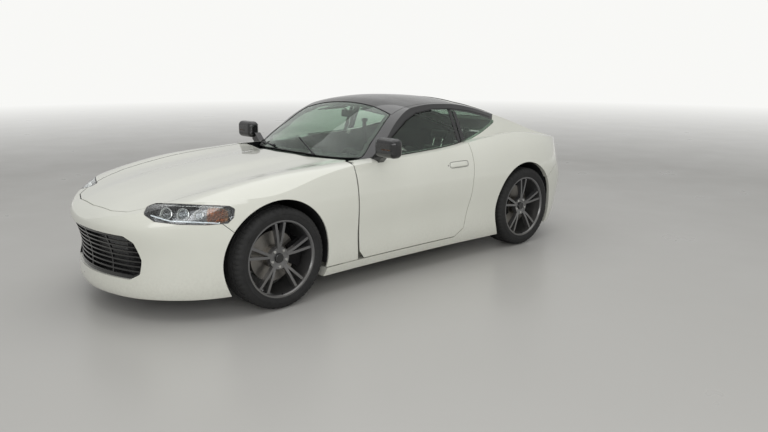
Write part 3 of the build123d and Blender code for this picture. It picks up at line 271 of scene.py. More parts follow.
# ---------------------------------------------------------------- building tools
def piece(name, mesh, finish, body="shell", slot=None, sharp=35):
    """An object from a mesh, shaded smooth but for its sharp edges, riding on a body."""
    obj = bpy.data.objects.new(name, mesh)
    SCENE.collection.objects.link(obj)
    mesh.materials.clear()
    mesh.materials.append(finish.material)
    mesh.polygons.foreach_set("use_smooth", [True] * len(mesh.polygons))
    mesh.set_sharp_from_angle(angle=math.radians(sharp))
    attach(obj, body)
    if slot:
        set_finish(obj, slot)
    return obj


def mesh_from(bm):
    """A mesh from a bmesh, with its faces turned outwards."""
    bmesh.ops.recalc_face_normals(bm, faces=bm.faces)
    mesh = bpy.data.meshes.new("mesh")
    bm.to_mesh(mesh)
    bm.free()
    return mesh


def grid_mesh(rows, close_rows=False, close_columns=False, cap=False):
    """A mesh of quads over rows of points."""
    bm = bmesh.new()
    made = [[bm.verts.new(p) for p in row] for row in rows]
    count, width = len(made), len(made[0])
    for i in range(count if close_rows else count - 1):
        for j in range(width if close_columns else width - 1):
            a, b = made[i], made[(i + 1) % count]
            k = (j + 1) % width
            bm.faces.new((a[j], a[k], b[k], b[j]))
    if cap:
        bm.faces.new(made[0])
        bm.faces.new(made[-1])
    return mesh_from(bm)


def turned(profile, segments, centre=(0, 0, 0)):
    """Points of (distance along the axis, radius) turned about a line along X through centre."""
    x, y, z = centre
    rows = []
    for i in range(segments):
        a = 2 * math.pi * i / segments
        rows.append([(x + t, y + r * math.cos(a), z + r * math.sin(a)) for t, r in profile])
    bm = bmesh.new()
    bm.from_mesh(grid_mesh(rows, close_rows=True))
    bmesh.ops.remove_doubles(bm, verts=bm.verts, dist=WELD)
    return mesh_from(bm)


def lathe(name, profile, centre, axis, finish, body="shell", segments=48):
    """The same about any axis through centre."""
    mesh = turned(profile, segments)
    mesh.transform(Matrix.Translation(centre) @ Vector(axis).to_track_quat("X", "Z").to_matrix().to_4x4())
    return piece(name, mesh, finish, body)


def tube(name, points, radius, finish, body="shell", closed=False, smooth=False):
    """A round bar along points. With smooth, its line is a NURBS curve through that cage."""
    curve = bpy.data.curves.new(name, "CURVE")
    curve.dimensions = "3D"
    curve.bevel_depth, curve.bevel_resolution, curve.use_fill_caps = radius, 2, True
    spline = curve.splines.new("NURBS" if smooth else "POLY")
    spline.points.add(len(points) - 1)
    for spot, p in zip(spline.points, points):
        spot.co = (*p, 1.0)
    spline.use_cyclic_u = closed
    if smooth:
        spline.order_u, spline.use_endpoint_u = 3, not closed
        curve.resolution_u = 6
    holder = bpy.data.objects.new(name + "_line", curve)
    mesh = bpy.data.meshes.new_from_object(holder)
    bpy.data.objects.remove(holder)
    return piece(name, mesh, finish, body, sharp=60)


def slab(name, size, centre, finish, body="shell", turn=FLAT, round_by=0.2, taper=1.0):
    """A rounded block, turned by degrees about X, Y and then Z; taper narrows its top."""
    bm = bmesh.new()
    bmesh.ops.create_cube(bm, size=1.0)
    for v in bm.verts:
        if v.co.z > 0:
            v.co.x *= taper
            v.co.y *= taper
        v.co = Vector(a * b for a, b in zip(v.co, size))
    width = round_by * min(size)
    bmesh.ops.bevel(bm, geom=bm.edges[:], offset=width, segments=4, profile=0.6, affect="EDGES")
    spin = Matrix.Identity(4)
    for angle, letter in zip(reversed(turn), "ZYX"):
        spin = spin @ Matrix.Rotation(math.radians(angle), 4, letter)
    bmesh.ops.transform(bm, matrix=Matrix.Translation(centre) @ spin, verts=bm.verts)
    return piece(name, mesh_from(bm), finish, body, sharp=40)


def slabs(rows, mirrored=False):
    """Blocks on the shell, a row each: name, size, middle, finish, turn, rounding and perhaps taper."""
    for name, size, centre, finish, turn, *shape in rows:
        made = slab(name, size, centre, finish, "shell", turn, *shape)
        if mirrored:
            pair(made)


def band(name, points, width, thick, finish):
    """A flat strap along points, its width along the car."""
    rows = []
    across = TO_TAIL * width / 2
    for i, p in enumerate(points):
        p = Vector(p)
        way = Vector(points[min(i + 1, len(points) - 1)]) - Vector(points[max(i - 1, 0)])
        out = way.cross(across).normalized() * thick / 2
        rows.append([p - across - out, p + across - out, p + across + out, p - across + out])
    return piece(name, grid_mesh(rows, close_columns=True, cap=True), finish, sharp=60)


def joined(meshes):
    """Several meshes as one."""
    bm = bmesh.new()
    for m in meshes:
        bm.from_mesh(m)
    made = bpy.data.meshes.new("joined")
    bm.to_mesh(made)
    bm.free()
    return made


def shelled(mesh, thickness):
    """An open surface given a thickness."""
    bm = bmesh.new()
    bm.from_mesh(mesh)
    bmesh.ops.solidify(bm, geom=bm.faces[:], thickness=thickness)
    return mesh_from(bm)


def twin(obj, body):
    """The same piece on the car's right side."""
    mesh = obj.data.copy()
    mesh.transform(Matrix.Scale(-1, 4, TO_LEFT))
    mesh.flip_normals()
    copy = bpy.data.objects.new(obj.name.replace("left", "right"), mesh)
    SCENE.collection.objects.link(copy)
    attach(copy, body)
    if "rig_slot" in obj:
        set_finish(copy, obj["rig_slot"])
    return copy


def pair(obj):
    """Keeps a left-hand piece and adds its right-hand twin, each on its own side's body."""
    body = obj["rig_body"]
    return obj, twin(obj, body.replace("left", "right"))


# ---------------------------------------------------------------- tools that follow the CAD surfaces
SAME_SPOT = 2e-6
OUTER_SKIN = 0.45  # cosine between a skin face's normal and the pane's
skins = {}


def skin(node):
    """A ray-casting tree of a CAD node."""
    if node not in skins:
        mesh = NODES[node].data
        faces = [tuple(p.vertices) for p in mesh.polygons]
        skins[node] = BVHTree.FromPolygons([v.co.copy() for v in mesh.vertices], faces)
    return skins[node]


def hit(node, start, way):
    """Where a ray first meets a node, with the surface's normal turned to face it."""
    spot, normal, _, _ = skin(node).ray_cast(Vector(start), Vector(way).normalized())
    if spot is None:
        return None, None
    return spot, -normal if normal.dot(Vector(way)) > 0 else normal


def square_to(way):
    """The two frame axes square to a ray that runs along the third: across, then up."""
    return [axis for axis in AXES if abs(axis.dot(way)) < 0.5]


def cover(
    name, node, origin, half, way, finish, body="shell", lift=0.003, depth=0.004, n=(18, 8), power=4.0
):
    """A pillowed patch on a node's surface, as far as half each way from where the ray meets it."""
    across, up = (axis * size for axis, size in zip(square_to(way), half))
    rows = []
    for i in range(n[1] + 1):
        row = []
        for j in range(n[0] + 1):
            s, t = 2 * j / n[0] - 1, 2 * i / n[1] - 1
            edge = max(abs(s), abs(t))
            grow = edge / ((abs(s) ** power + abs(t) ** power) ** (1 / power) or 1.0)
            spot, normal = hit(node, Vector(origin) + across * s * grow + up * t * grow, way)
            if spot is None:
                return None
            row.append(spot + normal * (lift * (1 - edge**6) - depth * 0.25 * edge**6))
        rows.append(row)
    made = piece(name, grid_mesh(rows), finish, body, sharp=60)
    wall = made.modifiers.new("wall", "SOLIDIFY")
    wall.thickness, wall.offset = depth, 0.0
    return made


def box_line(centre, half, way, count=40, power=6.0):
    """Points round a rectangle with rounded corners, square to a ray."""
    across, up = (axis * size for axis, size in zip(square_to(way), half))
    points = []
    for i in range(count):
        a = 2 * math.pi * (i + 0.5) / count
        c, s = math.cos(a), math.sin(a)
        r = (abs(c) ** power + abs(s) ** power) ** (-1 / power)
        points.append(Vector(centre) + across * c * r + up * s * r)
    return points


def seam(name, node, points, way, body="shell", radius=0.0015):
    """A thin closed line laid on a node's surface where rays along way meet it."""
    found = [hit(node, p, way)[0] for p in points]
    return tube(name, [spot for spot in found if spot is not None], radius, seal, body, closed=True)


def fixed(name, node, start, way, size, finish, body="shell", out=0.0, round_by=0.3):
    """A rounded block on a node's surface. Its size is across, up and outwards."""
    spot, normal = hit(node, start, way)
    made = slab(name, size, (0, 0, 0), finish, body, round_by=round_by)
    turn = normal.to_track_quat("Z", "Y").to_matrix().to_4x4()
    made.data.transform(Matrix.Translation(spot + normal * out) @ turn)
    return made


def knob(name, node, start, way, radius, height, finish, body="shell"):
    """A round button on a node's surface."""
    profile = [(-0.001, radius), (height * 0.7, radius), (height, radius * 0.85), (height, 0.0)]
    return lathe(name, profile, *hit(node, start, way), finish, body, 32)


def faces_of(node, keep):
    """A mesh of the node's faces that pass keep(centre, normal)."""
    bm = bmesh.new()
    bm.from_mesh(NODES[node].data)
    drop = [f for f in bm.faces if not keep(f.calc_center_median(), f.normal)]
    bmesh.ops.delete(bm, geom=drop, context="FACES")
    bmesh.ops.remove_doubles(bm, verts=bm.verts, dist=SAME_SPOT)
    mesh = bpy.data.meshes.new(node)
    bm.to_mesh(mesh)
    bm.free()
    return mesh


def outline(node, up):
    """The closed edge of a pane's outer skin, as a line of points."""
    bm = bmesh.new()
    bm.from_mesh(NODES[node].data)
    bmesh.ops.remove_doubles(bm, verts=bm.verts, dist=SAME_SPOT)
    bm.edges.index_update()
    rim = {e.index: e for e in bm.edges if len({f.normal.dot(up) > OUTER_SKIN for f in e.link_faces}) == 2}
    line = list(rim.popitem()[1].verts)
    while onward := next((e for e in line[-1].link_edges if e.index in rim), None):
        del rim[onward.index]
        line.append(onward.other_vert(line[-1]))
    line = [v.co.copy() for v in line]
    bm.free()
    return line


def even(line, step):
    """The same line with its points a step apart."""
    found, left = [line[0].copy()], step
    for a, b in zip(line, line[1:]):
        way, run = b - a, (b - a).length
        along = left
        while run > 0 and along <= run:
            found.append(a + way * (along / run))
            along += step
        left = along - run
    return found


def strip(name, node, line, up, finish, body, start, width, lift):
    """A band inside a pane's closed outline, start metres in and lift above its outer face."""
    count, rows = len(line), []
    centre = sum(line, Vector()) / count
    for i, p in enumerate(line):
        inward = up.cross(line[(i + 1) % count] - line[i - 1]).normalized()
        if inward.dot(centre - p) < 0:
            inward.negate()
        row = []
        for k in range(4):
            aim = p + inward * (start + width * k / 3)
            spot, face = hit(node, aim + up * 0.2, -up)
            row.append((spot if spot is not None else aim) + (face or up) * lift)
        rows.append(row)
    return piece(name, grid_mesh(rows, close_rows=True), finish, body, sharp=60)


# ---------------------------------------------------------------- wheels
AXLE_X, AXLE_Y, AXLE_Z = 0.785, (-1.235, 1.315), 0.343
TREAD_STEPS = 240
# Half of the tyre's section: distance from its middle plane and radius, in mm.
TYRE_HALF = [
    (0, 343), (17.5, 342.8), (18, 336), (26, 336), (26.5, 342.6), (42, 342.2), (57, 341.6),
    (57.5, 335), (66, 335), (66.5, 341.2), (80, 340.4), (93, 339), (109, 333), (118, 322),
    (123, 308), (124.6, 300), (122.8, 298.5), (124.6, 297), (125, 290), (124, 277), (121.5, 271),
    (122.5, 268.5), (119, 262), (109, 255), (101.5, 251.8),
]  # fmt: skip
# Cross cuts, in mm: from and to which distance, every how many steps, the left half's shift,
# above which radius, and how deep.
TREAD_CUTS = ((66, 119, 4, 2, 320, 5.0), (26.2, 57.2, 6, 3, 340, 3.5))
STUDS, STUD_CIRCLE = 5, 0.05715
NUT = [(0.0655, 0.0), (0.0655, 0.0068), (0.0725, 0.0068), (0.0725, 0.0105), (0.074, 0.0112)]
NUT += [(0.083, 0.0108), (0.0845, 0.0094), (0.0845, 0.006), (0.082, 0.0)]
HUB_CAP = [(0.0722, 0.0), (0.0722, 0.0335), (0.079, 0.0335), (0.0845, 0.031)]
HUB_CAP += [(0.0865, 0.026), (0.0855, 0.022), (0.0875, 0.0)]
VALVE = [(0.098, 0.0), (0.098, 0.004), (0.106, 0.0035), (0.112, 0.0035), (0.113, 0.0)]


def tyre_mesh():
    """The whole tyre, with its tread cut into blocks."""
    profile = [(-t, r) for t, r in reversed(TYRE_HALF[1:])] + TYRE_HALF
    rows = []
    for i in range(TREAD_STEPS):
        a, row = 2 * math.pi * i / TREAD_STEPS, []
        for t, r in profile:
            for low, high, every, shift, above, deep in TREAD_CUTS:
                if low < abs(t) < high and (i + (shift if t > 0 else 0)) % every == 0 and r > above:
                    r -= deep
            row.append((t / 1000, r / 1000 * math.cos(a), r / 1000 * math.sin(a)))
        rows.append(row)
    return grid_mesh(rows, close_rows=True, close_columns=True)


def on_wheels(name, mesh, finish, slot=None, replaced=None):
    """A left wheel's mesh, drawn about its own axle, on all four wheels."""
    for end, y in zip(("front", "rear"), AXLE_Y):
        for side, sign in SIDES:
            copy = mesh.copy()
            copy.transform(Matrix.Translation((AXLE_X, y, AXLE_Z)))
            if sign < 0:
                copy.transform(Matrix.Scale(-1, 4, TO_LEFT))
                copy.flip_normals()
            made = piece(f"{name}_{end}_{side}", copy, finish, f"wheel_{end}_{side}", slot)
            if replaced:
                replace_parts(made, f"{replaced}_{end}_{side}")


on_wheels("tread", tyre_mesh(), rubber, "tyre", "tyre")
nuts = []
for i in range(STUDS):
    a = 2 * math.pi * (i + 0.5) / STUDS
    nuts.append(turned(NUT, 6, (0, -STUD_CIRCLE * math.sin(a), STUD_CIRCLE * math.cos(a))))
on_wheels("wheel_nuts", joined(nuts), chrome)
on_wheels("hub_cap", turned(HUB_CAP, 48), gloss)
on_wheels("valve", turned(VALVE, 12, (0, 0.0, -0.238)), black)

# ---------------------------------------------------------------- headlamps
AIM = Vector((0.62, -0.74, 0.26)).normalized()
LEVEL = UP.cross(AIM).normalized()
RISE = AIM.cross(LEVEL)
LAMP_MIDDLE = Vector((0.710, -1.780, 0.690))
LENS_WALL, BOWL_WALL = 0.0025, -0.0012
FACES_OUT = 0.3  # how squarely a lamp's face looks outwards to count as lens
LAMP_UNITS = ((-0.135, 0.036), (-0.03, 0.036), (0.062, 0.028))  # place across the lamp, and radius


def lamp_point(u, v, deep):
    """A place behind the left headlamp's face: u outwards along it, v up it, deep metres in."""
    flat = LAMP_MIDDLE + LEVEL * u + RISE * v
    spot, _ = hit("headlamps", flat + AIM * 0.5, -AIM)
    if spot is None:
        spot = skin("headlamps").find_nearest(flat)[0]
    return spot - AIM * deep


lens = faces_of("headlamps", lambda c, n: c.x > 0 and n.dot(AIM) > FACES_OUT)
lens = piece("headlamp_lens_left", shelled(lens, LENS_WALL), lens_clear, "shell", "lamp_front")
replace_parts(pair(lens)[0], "headlamps")
back_wall = faces_of("headlamps", lambda c, n: c.x > 0 and n.dot(AIM) <= FACES_OUT)
pair(piece("headlamp_bowl_left", shelled(back_wall, BOWL_WALL), bowl_grey))
for number, (u, r) in enumerate(LAMP_UNITS, 1):
    spot = lamp_point(u, -0.002, 0.036)
    ring = [(-0.016, r * 0.8), (0.004, r * 1.06), (0.012, r * 1.1), (0.013, r), (0.002, r * 0.86)]
    ring += [(-0.012, r * 0.7), (-0.016, r * 0.8)]
    pair(lathe(f"lamp_ring_left_{number}", ring, spot, AIM, chrome))
    arc = np.linspace(0.1, math.pi / 2, 8)
    dome = [(-0.004, 0.0), (-0.004, r * 0.82)]
    dome += [(r * 0.42 * math.sin(a), r * 0.82 * math.cos(a)) for a in arc]
    pair(lathe(f"lamp_dome_left_{number}", dome, spot, AIM, lens_clear))
amber_rows = []
for v in np.linspace(-0.042, 0.046, 7):
    across = np.linspace(0.115, 0.226, 12)
    amber_rows.append([lamp_point(u, v * (1 - 9 * max(0, u - 0.19)), 0.014) for u in across])
pair(piece("lamp_amber_left", shelled(grid_mesh(amber_rows), 0.004), amber))
blade = [lamp_point(u, -0.046 + 0.25 * max(0, -0.1 - u), 0.014) for u in np.linspace(-0.225, 0.2, 20)]
pair(tube("lamp_blade_left", blade, 0.0042, light_guide))
brow = [lamp_point(u, 0.05, 0.016) for u in np.linspace(-0.2, 0.2, 18)]
pair(tube("lamp_brow_left", brow, 0.003, chrome))

# ---------------------------------------------------------------- tail
rear_lens = faces_of("tail_lamps", lambda c, n: c.x > 0 and n.y > FACES_OUT)
rear_lens = piece("tail_lens_left", shelled(rear_lens, LENS_WALL), lens_red, "shell", "lamp_rear")
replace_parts(pair(rear_lens)[0], "tail_lamps")
rear_bowl = faces_of("tail_lamps", lambda c, n: c.x > 0 and n.y <= FACES_OUT)
pair(piece("tail_bowl_left", shelled(rear_bowl, BOWL_WALL), red_bowl))
for number, z in enumerate((0.784, 0.803, 0.822), 1):
    line = []
    for x in np.linspace(0.315, 0.672, 20):
        spot, _ = hit("tail_lamps", (x, BEHIND, z), TO_NOSE)
        if spot is not None:
            line.append(spot - Vector((0.02 * x, 0.011, 0)))
    pair(tube(f"tail_bar_left_{number}", line, 0.0035, red_glow))
pair(cover("reflector_left", "rear_bumper", (0.68, BEHIND, 0.345), (0.055, 0.011), TO_NOSE, lens_red))
cover("rear_fog", "rear_bumper", (0, BEHIND, 0.352), (0.06, 0.012), TO_NOSE, lens_red)
diffuser = {"lift": 0.004, "depth": 0.006, "n": (40, 10), "power": 8.0}
cover("diffuser", "rear_bumper", (0, BEHIND, 0.242), (0.375, 0.078), TO_NOSE, black, **diffuser)
for number, x in enumerate((-0.3, -0.18, -0.06, 0.06, 0.18, 0.3), 1):
    spot, _ = hit("rear_bumper", (x, BEHIND, 0.22), TO_NOSE)
    middle = spot + Vector((0, -0.028, -0.005))
    slab(f"diffuser_fin_{number}", (0.009, 0.07, 0.105), middle, black, "shell", (12, 0, 0), 0.35)
SENSOR = [(-0.002, 0.0115), (0.0008, 0.011), (0.0012, 0.0095), (0.0006, 0.0085), (0.0016, 0.0)]
for number, (x, z) in enumerate(((-0.55, 0.44), (-0.2, 0.43), (0.2, 0.43), (0.55, 0.44)), 1):
    place = hit("rear_bumper", (x, BEHIND, z), TO_NOSE)
    lathe(f"sensor_{number}", SENSOR, *place, body_white, segments=24)

# ---------------------------------------------------------------- doors, mirrors and seals
DOOR = "door_assembly_left"
HANDLE = (BESIDE, 0.49, 0.795)
handle_line = box_line(HANDLE, (0.102, 0.024), TO_RIGHT)
pair(seam("handle_seam_left", "door_left", handle_line, TO_RIGHT, DOOR, 0.0014))
handle = {"lift": 0.006, "depth": 0.003, "n": (28, 8), "power": 5.0}
pair(cover("handle_left", "door_left", HANDLE, (0.098, 0.0205), TO_RIGHT, body_white, DOOR, **handle))
place = hit("door_left", (BESIDE, 0.37, 0.795), TO_RIGHT)
pair(lathe("lock_left", [(-0.001, 0.0075), (0.0012, 0.007), (0.0008, 0.0)], *place, chrome, DOOR, 24))
fuel_line = box_line((-BESIDE, 1.33, 0.83), (0.085, 0.062), TO_LEFT, 48, 4.0)
seam("fuel_flap_seam", "body_side_right", fuel_line, TO_LEFT, radius=0.0018)
glass_size, glass_middle = (0.166, 0.003, 0.095), (0.932, -0.2862, 1.0)
pair(slab("mirror_glass_left", glass_size, glass_middle, mirror_glass, DOOR, round_by=0.9))
repeater = {"lift": 0.0015, "depth": 0.002, "n": (16, 4)}
place = (0.965, AHEAD, 0.992)
pair(cover("mirror_repeater_left", "mirror_left", place, (0.052, 0.0035), TO_TAIL, amber, DOOR, **repeater))

# The side windows' upper edge, as (y, z).
WINDOW = [(-0.234, 0.948), (-0.06, 1.052), (0.1, 1.142), (0.23, 1.19), (0.43, 1.21)]
WINDOW += [(0.65, 1.204), (0.9, 1.17), (1.09, 1.128), (1.19, 1.1)]
STEPS = 6
top_line = []
for (y0, z0), (y1, z1) in zip(WINDOW, WINDOW[1:]):
    for t in np.arange(STEPS) / STEPS:
        start = (BESIDE, y0 + (y1 - y0) * t, z0 + (z1 - z0) * t + 0.0125)
        spot, normal = hit("roof_rail_left", start, TO_RIGHT)
        if spot is not None:
            top_line.append(spot - normal * 0.0005)
pair(tube("window_seal_left", top_line, 0.0034, seal))
belt_line = []
for y in np.linspace(-0.215, 0.635, 32):
    z = 0.9575 if y > 0.6 else 0.916 + 0.034 * max(0, y + 0.2)
    spot, _ = hit("door_glass_left", (BESIDE, y, z), TO_RIGHT)
    low, _ = hit("door_left", (spot.x + 0.01, y, 2), DOWN) if spot is not None else (None, None)
    if low is not None:
        belt_line.append(Vector((spot.x + 0.008, y, low.z + 0.0035)))
pair(tube("waist_seal_left", belt_line, 0.005, seal, DOOR))

for name, node, y0, y1, body in (
    ("door_pillar_trim_left", "door_glass_left", 0.606, 0.643, DOOR),
    ("quarter_pillar_trim_left", "quarter_windows", 0.661, 0.70, "shell"),
):
    rows = []
    for z in np.linspace(0.95, 1.2, 30):
        found = [hit(node, (BESIDE, y, z), TO_RIGHT) for y in np.linspace(y0, y1, 5)]
        if all(spot is not None for spot, _ in found):
            rows.append([spot + normal * 0.0012 for spot, normal in found])
    pair(piece(name, shelled(grid_mesh(rows), 0.001), gloss, body, sharp=60))

SCREEN_UP, REAR_UP = Vector((0, -0.55, 0.83)).normalized(), Vector((0, 0.35, 0.94)).normalized()
for name, node, up, body in (
    ("screen", "windscreen", SCREEN_UP, "shell"),
    ("rear", "rear_glass", REAR_UP, "tailgate"),
):
    line = even(outline(node, up), 0.03)
    tube(f"{name}_seal", line, 0.004, seal, body, closed=True)
    strip(f"{name}_ink_band", node, line, up, ink, body, start=0.003, width=0.034, lift=-0.0062)

# ---------------------------------------------------------------- seats
SEAT_X, LEAN = 0.37, -20.0
VOXEL, SWELL_CAP, PRESSURE, CLOTH_FRAMES = 0.006, 0.024, 4.0, 20


def settle(obj):
    """Applies an object's modifiers to its mesh."""
    mesh = bpy.data.meshes.new_from_object(obj.evaluated_get(bpy.context.evaluated_depsgraph_get()))
    obj.modifiers.clear()
    obj.data = mesh


def puffed(key, blocks, grooves):
    """A stuffed pad: blocks fused, blown up as cloth, then sewn down along its grooves."""
    fused = joined([b.data for b in blocks])
    for b in blocks:
        bpy.data.objects.remove(b)
    pad = piece(f"seat_driver_{key}", fused, leather, "shell", "seat_leather", 180)
    fuse = pad.modifiers.new("fuse", "REMESH")
    fuse.mode, fuse.voxel_size = "VOXEL", VOXEL
    settle(pad)
    start = np.array([v.co[:] for v in pad.data.vertices])
    cloth = pad.modifiers.new("cloth", "CLOTH")
    cloth.settings.use_pressure = True
    cloth.settings.uniform_pressure_force = PRESSURE
    cloth.settings.effector_weights.gravity = 0.0
    for number in range(1, CLOTH_FRAMES + 1):
        SCENE.frame_set(number)
    settle(pad)
    moved = np.array([v.co[:] for v in pad.data.vertices]) - start
    far = np.linalg.norm(moved, axis=1, keepdims=True)
    moved *= np.minimum(1.0, SWELL_CAP / np.maximum(far, 1e-9))
    pad.data.vertices.foreach_set("co", (start + moved).ravel())
    SCENE.frame_set(1)
    pad.modifiers.new("smooth", "SUBSURF").levels = 1
    settle(pad)
    # The normals are all read before a point moves, because a moved point makes Blender redo them.
    spots = [(v.co.copy(), v.normal.copy()) for v in pad.data.vertices]
    sewn = [p - n * grooves(p, n) for p, n in spots]
    pad.data.vertices.foreach_set("co", [c for p in sewn for c in p])
    pad.data.update()
    pad.data.polygons.foreach_set("use_smooth", [True] * len(pad.data.polygons))
    return pad


def dip(distance, width=0.0035, depth=0.006):
    """How far a seam sinks the leather at a distance from it."""
    return depth * math.exp(-((distance / width) ** 2))


def channels(places, axis, half, faces):
    """Channels across a pad at places along an axis, between two seams that run along it."""
    fade, seam_at = 0.01, half + 0.005

    def grooves(p, n):
        if not faces(n):
            return 0.0
        x = abs(p.x - SEAT_X)
        across = max(dip(p[axis] - s) for s in places) * min(1.0, (half - x) / fade) if x < half else 0.0
        return max(across, dip(x - seam_at, 0.004, 0.008))

    return grooves


def block(size, centre, turn, round_by=0.3):
    """A fused pad's block, placed from the seat's middle plane."""
    middle = (SEAT_X + centre[0], centre[1], centre[2])
    return slab("block", size, middle, leather, turn=turn, round_by=round_by)


cushion = [block((0.34, 0.44, 0.075), (0, 0.285, 0.325), (3, 0, 0))]
back = [block((0.32, 0.055, 0.42), (0, 0.628, 0.64), (LEAN, 0, 0))]
for s in (-1, 1):
    cushion.append(block((0.06, 0.42, 0.10), (s * 0.178, 0.275, 0.335), (3, s * 8, 0), 0.45))
    back.append(block((0.055, 0.085, 0.34), (s * 0.165, 0.598, 0.60), (LEAN, 0, s * -10), 0.45))
back.append(block((0.24, 0.06, 0.10), (0, 0.71, 0.845), (LEAN, 0, 0), 0.4))
rest = [block((0.17, 0.045, 0.075), (0, 0.775, 0.975), (-14, 0, 0), 0.45)]
cushion_grooves = channels((0.12, 0.19, 0.26, 0.33, 0.40), 1, 0.15, lambda n: n.z >= 0.2)
back_grooves = channels((0.46, 0.53, 0.60, 0.67, 0.74), 2, 0.135, lambda n: n.y <= 0.2)
soft = {
    "cushion": puffed("cushion", cushion, cushion_grooves),
    "back": puffed("back", back, back_grooves),
    "headrest": puffed("headrest", rest, lambda p, n: dip(p.z - 0.945, 0.003, 0.004)),
}
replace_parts(soft["cushion"], "seat_driver")
for key, pad in soft.items():
    copy = twin(pad, "shell")
    copy.name = f"seat_passenger_{key}"
    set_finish(copy, "seat_leather")
    if key == "cushion":
        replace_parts(copy, "seat_passenger")
for tag, x in (("inner", SEAT_X - 0.05), ("outer", SEAT_X + 0.05)):
    pair(tube(f"rest_post_left_{tag}", [(x, 0.742, 0.86), (x, 0.77, 0.95)], 0.006, chrome))
hinge, hinge_turn, buckle_turn = (0.016, 0.07, 0.10), (-18, 0, 0), (-20, 0, 0)
buckle_x = SEAT_X - 0.225
slabs([
    ("seat_shell_left", (0.40, 0.018, 0.46), (SEAT_X, 0.682, 0.635), dash, (LEAN, 0, 0), 0.45, 0.8),
    ("seat_base_left", (0.42, 0.46, 0.045), (SEAT_X, 0.29, 0.268), dash, FLAT, 0.3, 0.95),
    ("seat_lever_left", (0.012, 0.11, 0.026), (SEAT_X + 0.222, 0.22, 0.275), black, (8, 0, 0), 0.4),
    ("seat_hinge_left_inner", hinge, (SEAT_X - 0.205, 0.545, 0.335), black, hinge_turn, 0.4),
    ("seat_hinge_left_outer", hinge, (SEAT_X + 0.205, 0.545, 0.335), black, hinge_turn, 0.4),
], mirrored=True)  # fmt: skip
belt = [(0.655, 0.80, 1.03), (0.64, 0.78, 0.99), (0.628, 0.80, 0.80), (0.63, 0.81, 0.55)]
pair(band("belt_left", belt + [(0.64, 0.80, 0.33)], 0.046, 0.0024, webbing))
slabs([
    ("belt_guide_left", (0.012, 0.07, 0.035), (0.655, 0.80, 1.035), black, FLAT, 0.4),
    ("belt_buckle_left", (0.022, 0.05, 0.075), (buckle_x, 0.42, 0.40), black, buckle_turn, 0.4),
    ("buckle_button_left", (0.017, 0.03, 0.006), (buckle_x, 0.406, 0.439), lens_red, buckle_turn, 0.3),
], mirrored=True)  # fmt: skip

# ---------------------------------------------------------------- dashboard and console
VENT_Z, VENT_R, FIN_STEP = 0.763, 0.030, 0.011
VENT_RING = [(-0.002, 0.036), (0.006, 0.037), (0.008, 0.034), (0.002, 0.031), (-0.002, 0.031)]
DIAL_R = 0.037
BEZEL = [(-0.001, DIAL_R), (0.010, DIAL_R), (0.012, DIAL_R - 0.003), (0.003, DIAL_R - 0.006), (0.003, 0.0)]
slab("centre_screen", (0.22, 0.014, 0.118), (0, -0.292, 0.852), screen_black, "shell", (14, 0, 0), 0.45)
for number, x in enumerate((-0.58, -0.17, 0.17, 0.58), 1):
    lathe(f"vent_ring_{number}", VENT_RING, *hit("dashboard", (x, CABIN, VENT_Z), TO_NOSE), gloss)
    for k in (-2, -1, 0, 1, 2):
        size = (2 * math.sqrt(VENT_R**2 - (k * FIN_STEP) ** 2), 0.0025, 0.010)
        place = (x, CABIN, VENT_Z + k * FIN_STEP)
        fixed(f"vent_{number}_fin_{k + 3}", "dashboard", place, TO_NOSE, size, black)
for number, x in enumerate((-0.07, 0.0, 0.07), 1):
    knob(f"climate_knob_{number}", "dashboard", (x, CABIN, 0.735), TO_NOSE, 0.018, 0.014, gloss)
for number, x in enumerate((-0.105, -0.035, 0.035, 0.105), 1):
    size = (0.022, 0.012, 0.006)
    fixed(f"dash_switch_{number}", "dashboard", (x, CABIN, 0.735), TO_NOSE, size, black, out=0.002)
for tag, x in (("left", 0.412), ("right", 0.328)):
    spot, normal = hit("dashboard", (x, CABIN, 0.861), TO_NOSE)
    lathe(f"dial_bezel_{tag}", BEZEL, spot, normal, screen_black)
    turn = normal.to_track_quat("X", "Z").to_matrix()
    for k in range(11):
        a = math.radians(-130 + 26 * k)
        way, middle = turn @ Vector((0, math.sin(a), math.cos(a))), spot + normal * 0.0042
        line = [middle + way * (DIAL_R - 0.017), middle + way * (DIAL_R - 0.010)]
        tube(f"dial_{tag}_mark_{k + 1}", line, 0.0009, dial_white)
    middle, tip = spot + normal * 0.006, turn @ Vector((0, -0.62, -0.78)) * (DIAL_R - 0.013)
    tube(f"dial_{tag}_needle", [middle, middle + tip], 0.0011, amber)
glovebox = [(x, CABIN, z) for x, z in ((-0.56, 0.745), (-0.2, 0.745), (-0.2, 0.65), (-0.56, 0.65))]
seam("glovebox_seam", "dashboard", glovebox, TO_NOSE)

